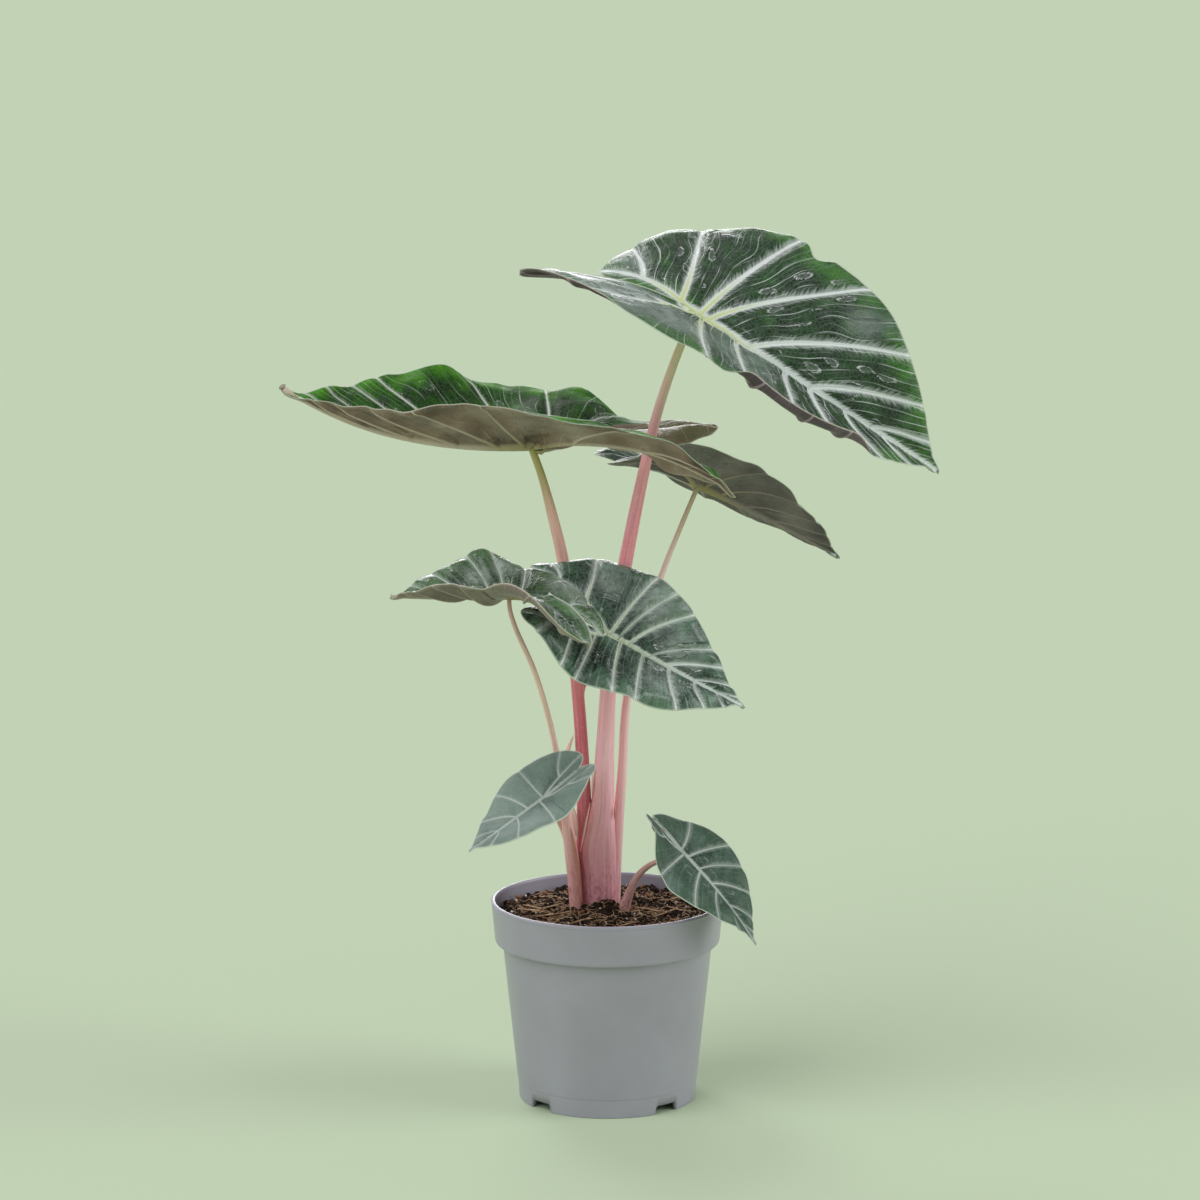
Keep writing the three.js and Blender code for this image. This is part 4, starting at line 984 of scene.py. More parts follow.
def scatter_tree():
    """Geometry nodes: places the pieces of a collection at random over a surface."""
    tree = bpy.data.node_groups.new("scattered_pieces", "GeometryNodeTree")
    face = tree.interface
    face.new_socket("Surface", in_out="INPUT", socket_type="NodeSocketGeometry")
    for label, kind in (
            ("Pieces", "Collection"), ("Material", "Material"), ("Density", "Float"), ("Seed", "Int"),
            ("Smallest", "Float"), ("Largest", "Float"), ("Tilt", "Float"), ("Lift", "Float")):
        face.new_socket(label, in_out="INPUT", socket_type=f"NodeSocket{kind}")
    face.new_socket("Scattered", in_out="OUTPUT", socket_type="NodeSocketGeometry")
    given = add(tree, "NodeGroupInput").outputs
    points = add(tree, "GeometryNodeDistributePointsOnFaces", {
        "Mesh": given["Surface"], "Density": given["Density"], "Seed": given["Seed"]})
    rise = add(tree, "ShaderNodeCombineXYZ", {"Z": given["Lift"]})
    lifted = add(tree, "GeometryNodeSetPosition", {"Geometry": points, "Offset": rise})
    pieces = add(tree, "GeometryNodeCollectionInfo", {
        "Collection": given["Pieces"], "Separate Children": True, "Reset Children": True})
    back = add(tree, "ShaderNodeMath", {0: given["Tilt"], 1: -1.0}, operation="MULTIPLY")
    low = add(tree, "ShaderNodeCombineXYZ", {"X": back, "Y": back, "Z": 0.0})
    high = add(tree, "ShaderNodeCombineXYZ", {"X": given["Tilt"], "Y": given["Tilt"], "Z": 2 * math.pi})
    turn = add(tree, "FunctionNodeRandomValue", {0: low, 1: high, "Seed": 5}, data_type="FLOAT_VECTOR")
    size = add(tree, "FunctionNodeRandomValue", {2: given["Smallest"], 3: given["Largest"], "Seed": 6},
               data_type="FLOAT")
    placed = add(tree, "GeometryNodeInstanceOnPoints", {
        "Points": lifted, "Instance": pieces, "Pick Instance": True,
        "Rotation": turn, "Scale": size.outputs[1]})
    real = add(tree, "GeometryNodeRealizeInstances", {"Geometry": placed})
    dressed = add(tree, "GeometryNodeSetMaterial", {"Geometry": real, "Material": given["Material"]})
    add(tree, "NodeGroupOutput", {"Scattered": dressed})
    return tree


FIBRE_RINGS, FIBRE_SIDES = 10, 5


def fibre(length, thick, bow, curl, seed):
    """Points and faces of one bent coir fibre, lying along X about its own middle."""
    draw = np.random.default_rng(seed)
    t = np.linspace(-0.5, 0.5, FIBRE_RINGS)
    phase = draw.uniform(0, 6.28)
    line = np.stack([
        length * t * (1 - 0.25 * curl), bow * length * (0.25 - t * t) + curl * np.sin(9 * t + phase),
        0.6 * curl * np.cos(7 * t + phase) + 0.3], -1)
    across, over = spokes(line)
    turn = np.linspace(0, 2 * np.pi, FIBRE_SIDES, endpoint=False)[None, :, None]
    size = thick * np.sqrt(np.clip(1.02 - (2 * t) ** 4, 0.05, 1))[:, None, None]
    skin = line[:, None] + size * (np.cos(turn) * across[:, None] + np.sin(turn) * over[:, None])
    return skin.reshape(-1, 3), tube_faces(FIBRE_RINGS, FIBRE_SIDES)


def crumb(size, seed):
    """Points and faces of one angular crumb of peat."""
    shape = bmesh.new()
    bmesh.ops.create_icosphere(shape, subdivisions=1, radius=size)
    draw = np.random.default_rng(seed)
    stretch = draw.uniform(0.55, 1.3, 3)
    uneven = draw.uniform(0.7, 1.25, (len(shape.verts), 1))
    points = np.array([v.co[:] for v in shape.verts]) * stretch * uneven
    faces = [tuple(v.index for v in f.verts) for f in shape.faces]
    shape.free()
    return points, faces


def scatter(name, tree, surface, shapes, material, **amounts):
    """A piece made of many small shapes strewn over a surface, all turned into one mesh."""
    group = bpy.data.collections.new(f"{name}_pieces")
    for number, (points, faces) in enumerate(shapes):
        mesh = bpy.data.meshes.new(f"{name}_{number}")
        mesh.from_pydata((points * MM).tolist(), [], faces)
        mesh.shade_smooth()
        group.objects.link(bpy.data.objects.new(f"{name}_{number}", mesh))
    piece = bpy.data.objects.new(name, surface.data.copy())
    bpy.context.scene.collection.objects.link(piece)
    step = piece.modifiers.new("scattered", "NODES")
    step.node_group = tree
    values = dict(Pieces=group, Material=material, **amounts)
    for item in tree.interface.items_tree:
        if item.in_out == "INPUT" and item.name in values:
            step[item.identifier] = values[item.name]
    bpy.context.view_layer.update()
    bake_modifiers(piece)
    for shape in list(group.objects):
        bpy.data.objects.remove(shape)
    bpy.data.collections.remove(group)
    return piece


def soil_patch(name, reach):
    """An open piece of the mix's surface, as far as the reach from the pot's axis."""
    radii, turn = np.linspace(0.5, reach, 40), np.linspace(0, 2 * np.pi, 120)
    r, a = np.meshgrid(radii, turn, indexing="ij")
    x, y = r * np.cos(a), r * np.sin(a)
    points = np.stack([x, y, lumpy_height(x, y)], -1).reshape(-1, 3)
    return mesh_piece(name, points, grid_triangles(len(radii), len(turn), 0, False), [])


# Straws that show singly on the mix: both ends and how far they bow
STRAWS = (
    ((-39.5, -12, 99.5), (-22, -2, 102.2), 0.05), ((-44, 6, 99), (-31, -9, 100.5), -0.1),
    ((22, -24, 99.6), (37, -12, 101.8), 0.08), ((26, 10, 100), (38, 3, 103.5), -0.06),
    ((-20, -34, 99), (-7, -29, 101), 0.1), ((5, -38, 98.8), (17, -33, 100.4), -0.1),
    ((-47, -4, 99.6), (-30, -17, 100.6), 0.06), ((-37, -21, 99.4), (-17, -15, 101), -0.05),
    ((14, -7, 101), (33, -17, 100.4), 0.07), ((29, -1, 100.2), (44, -13, 99.8), -0.08),
)


def lay_straws(material):
    """The single straws, in one piece."""
    points, faces = [], []
    for number, (start, end, bow) in enumerate(STRAWS):
        start, end = np.array(start), np.array(end)
        shape, sides = fibre(np.linalg.norm(end - start), 0.4, bow, 0.25, 60 + number)
        axis = (end - start) / np.linalg.norm(end - start)
        flat = np.cross((0, 0, 1), axis)
        flat /= np.linalg.norm(flat)
        placed = (start + end) / 2 + shape @ np.stack([axis, flat, np.cross(axis, flat)])
        before = len(points) * FIBRE_RINGS * FIBRE_SIDES
        faces += [tuple(i + before for i in f) for f in sides]
        points.append(placed)
    return mesh_piece("loose_straws", np.concatenate(points), faces, [material])


# Materials


def lay_over(tree, shade, layers):
    """Lays tints over a shade one after another; a layer is where it lies, its tint and its strength."""
    for where, tint, strength in layers:
        amount = add(tree, "ShaderNodeMath", {0: where, 1: strength}, operation="MULTIPLY")
        shade = add(tree, "ShaderNodeMix", {0: amount, 6: shade, 7: colour(tint)},
                    data_type="RGBA").outputs[2]
    return shade


def blade_readings(tree):
    """What a blade's mesh tells its skin: flat place, field and veins, then rim, reach, and the patches of
    painted sheen that also tint a turned lobe's underside.
    """
    return [
        add(tree, "ShaderNodeAttribute", attribute_name=key).outputs[socket]
        for key, socket in (("sheet", "Vector"), ("field", "Vector"), ("vein", "Vector"),
                            ("rim", "Fac"), ("reach", "Fac"), ("bloom", "Fac"))]


def hair_lines(tree, sheet, field, count, wander):
    """Fine pale lines, about a third of a millimetre wide, that run between the main veins.

    It gives how strong the line is at each point; count is the number of lines between two veins."""
    parts = add(tree, "ShaderNodeSeparateXYZ", {"Vector": field})
    drift = add(tree, "ShaderNodeTexNoise", {"Vector": sheet, "Scale": 1 / 26, "Detail": 0.0})
    place = add(tree, "ShaderNodeMath", {0: drift, 1: wander, 2: parts.outputs["X"]},
                operation="MULTIPLY_ADD")
    steps = add(tree, "ShaderNodeMath", {0: place, 1: 2.0 * count}, operation="MULTIPLY")
    saw = add(tree, "ShaderNodeMath", {0: steps, 1: 1.0}, operation="PINGPONG")
    apart = add(tree, "ShaderNodeMath", {0: saw, 1: parts.outputs["Y"]}, operation="MULTIPLY")
    distance = add(tree, "ShaderNodeMath", {0: apart, 1: 1 / (2.0 * count)}, operation="MULTIPLY")
    line = add(tree, "ShaderNodeMapRange", {
        "Value": distance, "From Min": 0.06, "From Max": 0.34, "To Min": 1.0, "To Max": 0.0},
        interpolation_type="SMOOTHSTEP")
    room = add(tree, "ShaderNodeMapRange", {
        "Value": parts.outputs["Y"], "From Min": 1.6 * count, "From Max": 3.4 * count})
    kept = add(tree, "ShaderNodeMath", {0: line, 1: room}, operation="MULTIPLY")
    come = add(tree, "ShaderNodeTexNoise", {"Vector": sheet, "Scale": 1 / 18, "Detail": 1.0})
    comes = add(tree, "ShaderNodeMapRange", {
        "Value": come, "From Min": 0.4, "From Max": 0.62, "To Min": 0.1})
    return add(tree, "ShaderNodeMath", {0: kept, 1: comes}, operation="MULTIPLY")


def leaf_top(
        name, deep, mid, bright, vein, sheen_and_net_tint,
        painted_sheen, lined, veined, feathered, yellow, pucker_bump_and_glint, matt, shine):
    """Living leaf cuticle: a smooth waxy skin over green tissue. It gives highlights that break up over the
    quilting, pale veins with feathered edges, painted sheen in pale clouds and patches, painted highlights on
    the puckers' rims and fine pale lines."""
    made, tree = new_material(name)
    sheet, field, veins, rim, reach, bloom = blade_readings(tree)
    across, along, gap = add(tree, "ShaderNodeSeparateXYZ", {"Vector": veins}).outputs
    # Feathering: short pale strokes that lean forward from each main vein, about 1 mm apart
    lean = add(tree, "ShaderNodeMath", {0: gap, 1: -0.9, 2: along}, operation="MULTIPLY_ADD")
    outward_step = add(tree, "ShaderNodeMath", {0: gap, 1: 0.16}, operation="MULTIPLY")
    strokes_at = add(tree, "ShaderNodeCombineXYZ", {"X": lean, "Y": outward_step})
    stroke = add(tree, "ShaderNodeTexNoise", {
        "Vector": strokes_at, "Scale": 1.0, "Detail": 2.0, "Roughness": 0.6})
    stroke_reach = add(tree, "ShaderNodeMapRange", {
        "Value": stroke, "From Min": 0.32, "From Max": 0.72,
        "To Min": 0.3 * feathered, "To Max": feathered})
    nearness = add(tree, "ShaderNodeMath", {0: gap, 1: stroke_reach}, operation="DIVIDE")
    frayed = add(tree, "ShaderNodeMath", {0: stroke, 1: -0.9, 2: across}, operation="MULTIPLY_ADD")
    # Net of the smallest veins, cells about 2 mm across
    net = add(tree, "ShaderNodeTexVoronoi", {"Vector": sheet, "Scale": 1 / 2.1}, feature="DISTANCE_TO_EDGE")
    # Each falls smoothly from its top value to nothing: core and crest of the veins in half-widths, the rest
    # in millimetres
    falls = {}
    for key, value, start, end, top in (
            ("to_rim", rim, 1.0, 18.0, 0.26), ("net", net, 0.0, 0.16, 1.0),
            ("fringe", nearness, 0.15, 1.0, 1.0), ("core", frayed, 0.05, 0.7, 1.0),
            ("crest", across, 0.15, 0.75, 1.0), ("stalk", reach, 8.0, 48.0, 1.0),
            ("edge", rim, 0.25, 0.9, 1.0)):
        falls[key] = add(tree, "ShaderNodeMapRange", {
            "Value": value, "From Min": start, "From Max": end, "To Min": top, "To Max": 0.0},
            interpolation_type="SMOOTHSTEP")
    # Blotches of darker and brighter tissue, about 14 mm across, brighter towards the margin
    blotch = add(tree, "ShaderNodeTexNoise", {
        "Vector": sheet, "Scale": 1 / 14, "Detail": 3.0, "Roughness": 0.55})
    tone = add(tree, "ShaderNodeMath", {0: blotch, 1: falls["to_rim"]}, operation="ADD")
    green = add(tree, "ShaderNodeValToRGB", {"Fac": tone},
                stops=[(0.4, deep), (0.6, mid), (0.92, bright)])
    hair = hair_lines(tree, sheet, field, 4, 0.35)
    finer = hair_lines(tree, sheet, field, 9, 0.5)
    # Painted sheen: pale clouds about 9 mm across that stand in for glossy reflections; the same clouds vary
    # the roughness and shift the puckers
    sheen_clouds = add(tree, "ShaderNodeTexNoise", {
        "Vector": sheet, "Scale": 1 / 9, "Detail": 4.0, "Roughness": 0.62})
    sheen_tint = add(tree, "ShaderNodeMapRange", {
        "Value": sheen_clouds, "From Min": 0.5, "From Max": 0.72, "To Min": 0.0, "To Max": painted_sheen})
    patchy = add(tree, "ShaderNodeMapRange", {
        "Value": sheen_clouds, "From Min": 0.3, "From Max": 0.62, "To Min": 0.35, "To Max": 1.0})
    # Painted sheen in the listed patches, broken up by the clouds
    sheen_patches = add(tree, "ShaderNodeMath", {0: bloom, 1: patchy}, operation="MULTIPLY")
    flush = add(tree, "ShaderNodeMath", {0: falls["stalk"], 1: falls["crest"]}, operation="MULTIPLY")
    # Puckers: glossy eye-shaped folds about 9 mm long and 4 mm wide along the veins, raised by a bump. Their
    # pale rim is a painted highlight and their paler inside is painted sheen. Each has a cell of 19 by 8.5
    # mm, and fewer than half of the cells hold one.
    eye_long = add(tree, "ShaderNodeMath", {0: along, 1: 1 / 19}, operation="MULTIPLY")
    eye_wide = add(tree, "ShaderNodeMath", {0: gap, 1: 1 / 8.5}, operation="MULTIPLY")
    wavy = add(tree, "ShaderNodeMath", {0: sheen_clouds, 1: 0.7, 2: eye_wide}, operation="MULTIPLY_ADD")
    eyes_at = add(tree, "ShaderNodeCombineXYZ", {"X": eye_long, "Y": wavy})
    eyes = add(tree, "ShaderNodeTexVoronoi", {"Vector": eyes_at, "Scale": 1.0}, voronoi_dimensions="2D")
    chance = add(tree, "ShaderNodeSeparateXYZ", {"Vector": eyes.outputs["Color"]})
    chosen = add(tree, "ShaderNodeMath", {0: chance.outputs["X"], 1: 0.55}, operation="GREATER_THAN")
    clear = add(tree, "ShaderNodeMapRange", {"Value": across, "From Min": 1.5, "From Max": 2.4})
    inland = add(tree, "ShaderNodeMapRange", {"Value": rim, "From Min": 5.0, "From Max": 12.0})
    there = add(tree, "ShaderNodeMath", {0: clear, 1: inland}, operation="MULTIPLY")
    kept = add(tree, "ShaderNodeMath", {0: there, 1: chosen}, operation="MULTIPLY")
    broken = add(tree, "ShaderNodeMapRange", {"Value": stroke, "From Min": 0.42, "From Max": 0.58})
    # Each pucker's dome raises a bump and is also painted a little paler as sheen; its rim is only a painted
    # highlight
    pucker_domes_and_glints = {}
    for key, stops in (("dome", [(0.0, 0.7), (0.12, 0.8), (0.2, 1.0), (0.27, 0.0)]),
                       ("rim", [(0.17, 0.0), (0.2, 1.0), (0.235, 1.0), (0.27, 0.0)])):
        shape = add(tree, "ShaderNodeValToRGB", {"Fac": eyes}, stops=stops)
        pucker_domes_and_glints[key] = add(tree, "ShaderNodeMath", {0: shape, 1: kept}, operation="MULTIPLY")
    pucker_domes_and_glints["rim"] = add(tree, "ShaderNodeMath", {0: pucker_domes_and_glints["rim"], 1: broken}, operation="MULTIPLY")
    # Painted light among these tints: the pale clouds and patches are painted sheen, the puckers' pale domes
    # are painted sheen and their near-white rims are painted highlights
    shade = lay_over(tree, green, (
        (sheen_tint, sheen_and_net_tint, 1.0), (sheen_patches, sheen_and_net_tint, 1.0),
        (falls["net"], sheen_and_net_tint, 0.12), (finer, vein, 0.25 * lined), (hair, vein, lined),
        (falls["fringe"], vein, 0.5 * veined), (falls["core"], vein, veined),
        (flush, "#c6d488", yellow), (falls["edge"], "#c9d4c3", 0.8),
        (pucker_domes_and_glints["dome"], "#9fb0a6", 0.2 * pucker_bump_and_glint), (pucker_domes_and_glints["rim"], "#eef4f0", pucker_bump_and_glint)))
    # Relief: grain about 1 mm across, and the hair lines and the net sunk into it
    grain = add(tree, "ShaderNodeTexNoise", {"Vector": sheet, "Scale": 1 / 1.1, "Detail": 2.0})
    furrows = add(tree, "ShaderNodeMath", {0: hair, 1: finer}, operation="ADD")
    sunk = add(tree, "ShaderNodeMath", {0: falls["net"], 1: 0.4, 2: furrows}, operation="MULTIPLY_ADD")
    relief = add(tree, "ShaderNodeMath", {0: grain, 1: 0.6}, operation="MULTIPLY")
    furrowed = add(tree, "ShaderNodeMath", {0: relief, 1: sunk}, operation="SUBTRACT")
    fine_bump = add(tree, "ShaderNodeBump", {"Height": furrowed, "Strength": 0.4, "Distance": 0.0003})
    bump = add(tree, "ShaderNodeBump", {
        "Height": pucker_domes_and_glints["dome"], "Strength": pucker_bump_and_glint, "Distance": 0.0022,
        "Normal": fine_bump})
    rough = add(tree, "ShaderNodeMapRange", {
        "Value": sheen_clouds, "From Min": 0.3, "From Max": 0.7,
        "To Min": matt, "To Max": matt + 0.14})
    skin = add(tree, "ShaderNodeBsdfPrincipled", {
        "Base Color": shade, "Roughness": rough, "IOR": 1.42,
        "Normal": bump, "Specular IOR Level": shine})
    add(tree, "ShaderNodeOutputMaterial", {"Surface": skin})
    return made


def leaf_under(name, deep, mid, green, vein, lobe, gloss):
    """The leaf's under skin: duller and brown, over raised veins that catch the light. It gives slow
    changes of tone about 36 mm across, and a net of small veins about 2.4 mm across in relief."""
    made, tree = new_material(name)
    sheet, field, veins, rim, reach, bloom = blade_readings(tree)
    across = add(tree, "ShaderNodeSeparateXYZ", {"Vector": veins}).outputs["X"]
    blotch = add(tree, "ShaderNodeTexNoise", {
        "Vector": sheet, "Scale": 1 / 36, "Detail": 4.0, "Roughness": 0.55})
    base = add(tree, "ShaderNodeValToRGB", {"Fac": blotch},
               stops=[(0.34, deep), (0.54, mid), (0.72, green)])
    hair = hair_lines(tree, sheet, field, 4, 0.35)
    net = add(tree, "ShaderNodeTexVoronoi", {"Vector": sheet, "Scale": 1 / 2.4}, feature="DISTANCE_TO_EDGE")
    falls = {}
    for key, value, start, end, top in (
            ("net", net, 0.0, 0.14, 1.0), ("core", across, 0.5, 1.3, 1.0),
            ("stalk", reach, 5.0, 34.0, 0.8), ("edge", rim, 0.2, 0.8, 1.0)):
        falls[key] = add(tree, "ShaderNodeMapRange", {
            "Value": value, "From Min": start, "From Max": end, "To Min": top, "To Max": 0.0},
            interpolation_type="SMOOTHSTEP")
    flush = add(tree, "ShaderNodeMath", {0: falls["stalk"], 1: falls["core"]}, operation="MULTIPLY")
    # The patches that are painted sheen on the top only tint a turned lobe here
    shade = lay_over(tree, base, (
        (bloom, lobe, 1.0), (falls["core"], vein, 0.7), (flush, "#a39a63", 1.0), (hair, vein, 0.3),
        (falls["edge"], "#c3c0ad", 0.8)))
    relief = add(tree, "ShaderNodeMath", {0: hair, 1: falls["net"]}, operation="ADD")
    bump = add(tree, "ShaderNodeBump", {"Height": relief, "Strength": 0.5, "Distance": 0.0003})
    skin = add(tree, "ShaderNodeBsdfPrincipled", {
        "Base Color": shade, "Roughness": gloss, "IOR": 1.45, "Normal": bump})
    add(tree, "ShaderNodeOutputMaterial", {"Surface": skin})
    return made


def stalk_skin(name, stops, blush, mottle):
    """Fleshy leaf stalk: thin waxy skin over pink juicy tissue. It gives a soft long highlight,
    fine lengthwise streaks and short brown mottling near the ground."""
    made, tree = new_material(name)
    skin_at = add(tree, "ShaderNodeAttribute", attribute_name="skin").outputs["Vector"]
    height = add(tree, "ShaderNodeAttribute", attribute_name="height").outputs["Fac"]
    above = add(tree, "ShaderNodeAttribute", attribute_name="above").outputs["Fac"]
    tint = add(tree, "ShaderNodeValToRGB", {"Fac": height}, stops=stops)
    # Long streaks about 1 mm wide, short spots of 1.5 mm, fine flecks and thin grooves: how the pattern is
    # stretched along the stalk, its detail, and the range of the noise that shows
    marks = {}
    for key, stretch, detail, low, high in (
            ("streak", (0.9, 0.9, 0.03), 3.0, 0.46, 0.72), ("spot", (0.75, 0.75, 0.3), 4.0, 0.48, 0.66),
            ("fleck", (1.6, 1.6, 0.6), 2.0, 0.55, 0.7), ("groove", (1.5, 1.5, 0.015), 1.0, 0.54, 0.62)):
        stretched = add(tree, "ShaderNodeVectorMath", {0: skin_at, 1: stretch}, operation="MULTIPLY")
        noise = add(tree, "ShaderNodeTexNoise", {
            "Vector": stretched, "Scale": 1.0, "Detail": detail, "Roughness": 0.6})
        marks[key] = add(tree, "ShaderNodeMapRange", {
            "Value": noise, "From Min": low, "From Max": high})
    near_soil = add(tree, "ShaderNodeMapRange", {
        "Value": above, "From Min": 99.0, "From Max": 132.0, "To Min": 0.75, "To Max": 0.03},
        interpolation_type="SMOOTHSTEP")
    low_spots = add(tree, "ShaderNodeMath", {0: marks["spot"], 1: near_soil}, operation="MULTIPLY")
    shade = lay_over(tree, tint, (
        (marks["streak"], blush, 0.4), (marks["groove"], mottle, 0.2),
        (low_spots, mottle, 1.0), (marks["fleck"], blush, 0.3)))
    bump = add(tree, "ShaderNodeBump", {"Height": marks["streak"], "Strength": 0.25, "Distance": 0.0004})
    body = add(tree, "ShaderNodeBsdfPrincipled", {
        "Base Color": shade, "Roughness": 0.38, "IOR": 1.42, "Normal": bump,
        "Subsurface Weight": 0.2, "Subsurface Radius": (0.9, 0.35, 0.3), "Subsurface Scale": 0.0015})
    add(tree, "ShaderNodeOutputMaterial", {"Surface": body})
    return made


def pot_plastic():
    """Injection-moulded polypropylene, grey: a satin skin with faint clouds of flow marks about 35 mm
    across, and a fine moulded grain, drawn at 0.6 mm so that it shows."""
    made, tree = new_material("moulded_polypropylene_grey")
    place = add(tree, "ShaderNodeTexCoord").outputs["Object"]
    cloud = add(tree, "ShaderNodeTexNoise", {"Vector": place, "Scale": 28.0, "Detail": 4.0, "Roughness": 0.6})
    tint = add(tree, "ShaderNodeValToRGB", {"Fac": cloud}, stops=[(0.3, "#9c9ca6"), (0.7, "#a4a4af")])
    fine = add(tree, "ShaderNodeTexNoise", {"Vector": place, "Scale": 1600.0, "Detail": 2.0})
    rough = add(tree, "ShaderNodeMapRange", {
        "Value": cloud, "From Min": 0.3, "From Max": 0.7, "To Min": 0.3, "To Max": 0.37})
    bump = add(tree, "ShaderNodeBump", {"Height": fine, "Strength": 0.12, "Distance": 0.0002})
    body = add(tree, "ShaderNodeBsdfPrincipled", {
        "Base Color": tint, "Roughness": rough, "IOR": 1.49,
        "Normal": bump})
    add(tree, "ShaderNodeOutputMaterial", {"Surface": body})
    return made


def damp_mix(name, dark, light, scale):
    """Damp coir and peat: crumbly, almost black where it is wet, with brown grains and no gloss."""
    made, tree = new_material(name)
    place = add(tree, "ShaderNodeTexCoord").outputs["Object"]
    grain = add(tree, "ShaderNodeTexNoise", {
        "Vector": place, "Scale": scale, "Detail": 6.0, "Roughness": 0.75})
    tint = add(tree, "ShaderNodeValToRGB", {"Fac": grain}, stops=[(0.4, dark), (0.66, light)])
    bump = add(tree, "ShaderNodeBump", {"Height": grain, "Strength": 0.8, "Distance": 0.0012})
    body = add(tree, "ShaderNodeBsdfPrincipled", {
        "Base Color": tint, "Roughness": 0.9, "Specular IOR Level": 0.3,
        "Normal": bump})
    add(tree, "ShaderNodeOutputMaterial", {"Surface": body})
    return made


def dry_fibre(name, dark, light):
    """Dry coir and bits of bark: pale brown, matt, a little different from one to the next."""
    made, tree = new_material(name)
    place = add(tree, "ShaderNodeTexCoord").outputs["Object"]
    cloud = add(tree, "ShaderNodeTexNoise", {"Vector": place, "Scale": 260.0, "Detail": 3.0})
    tint = add(tree, "ShaderNodeValToRGB", {"Fac": cloud}, stops=[(0.35, dark), (0.65, light)])
    body = add(tree, "ShaderNodeBsdfPrincipled", {"Base Color": tint, "Roughness": 0.75})
    add(tree, "ShaderNodeOutputMaterial", {"Surface": body})
    return made


# Tops: green from deep to bright, vein, and the pale tint of the painted sheen and of the small veins' net;
# feathered is the feathering's reach in millimetres, the rest are strengths, among them those of the painted
# sheen and of the painted pucker
# highlights. Undersides: skin from deep to bright, vein, the tint of a turned lobe, and roughness.
LEAF_LOOKS = {
    "young": (
        leaf_top("alocasia_leaf_young", "#142f14", "#1e4519", "#3a7518", "#dfe9e4", "#94a69c",
                 painted_sheen=0.1, lined=0.7, veined=0.95, feathered=6.5, yellow=0.85, pucker_bump_and_glint=1.0,
                 matt=0.22, shine=0.55),
        leaf_under("alocasia_underside_young", "#3b3237", "#5a4c53", "#7d6f76", "#a39297", "#5a4c53", 0.34),
    ),
    "bright": (
        leaf_top("alocasia_leaf_bright", "#0f3000", "#1f5200", "#4a9408", "#e0e9dc", "#86a286",
                 painted_sheen=0.0, lined=0.4, veined=0.75, feathered=2.6, yellow=0.4, pucker_bump_and_glint=0.3,
                 matt=0.44, shine=0.22),
        leaf_under("alocasia_underside_bright", "#54463a", "#94806e", "#b5a596", "#ded2be", "#666a40", 0.33),
    ),
    "dark": (
        leaf_top("alocasia_leaf_dark", "#1b3622", "#244a2d", "#38623a", "#c0d0c6", "#85998c",
                 painted_sheen=0.2, lined=0.35, veined=0.7, feathered=3, yellow=0.5, pucker_bump_and_glint=0.5,
                 matt=0.28, shine=0.5),
        leaf_under("alocasia_underside_dark", "#454342", "#68645f", "#807b76", "#989289", "#68645f", 0.26),
    ),
    "grassy": (
        leaf_top("alocasia_leaf_green", "#152b10", "#2f4f2c", "#58804e", "#dce7df", "#b3c2b6",
                 painted_sheen=0.2, lined=0.16, veined=0.8, feathered=3, yellow=0.3, pucker_bump_and_glint=0.9,
                 matt=0.17, shine=0.65),
        leaf_under("alocasia_underside_brown", "#665c53", "#8a8175", "#a19988", "#bdb5a6", "#8a8175", 0.33),
    ),
    "blue": (
        leaf_top("alocasia_leaf_blue", "#14291b", "#284533", "#50765a", "#e2ece6", "#b0c1b7",
                 painted_sheen=0.22, lined=0.2, veined=0.95, feathered=4, yellow=0.5, pucker_bump_and_glint=0.9,
                 matt=0.17, shine=0.65),
        leaf_under("alocasia_underside_grey", "#565149", "#6d685e", "#7d7869", "#98937f", "#6d685e", 0.34),
    ),
    "small": (
        leaf_top("alocasia_leaf_small", "#4f665c", "#6a8076", "#7c9184", "#d3dcd8", "#9eb0a8",
                 painted_sheen=0.25, lined=0.08, veined=0.5, feathered=2.5, yellow=0.08, pucker_bump_and_glint=0.0,
                 matt=0.42, shine=0.4),
        leaf_under("alocasia_underside_small", "#675e58", "#7b6f66", "#8f8278", "#a89c90", "#7b6f66", 0.5),
    ),
    "small_deep": (
        leaf_top("alocasia_leaf_small_deep", "#243d2e", "#2f4e39", "#415f46", "#c9d4ce", "#7f978b",
                 painted_sheen=0.22, lined=0.12, veined=0.62, feathered=3.5, yellow=0.12, pucker_bump_and_glint=0.15,
                 matt=0.34, shine=0.45),
        leaf_under(
            "alocasia_underside_small_deep", "#675e58", "#7b6f66", "#8f8278", "#a89c90", "#7b6f66", 0.5),
    ),
}
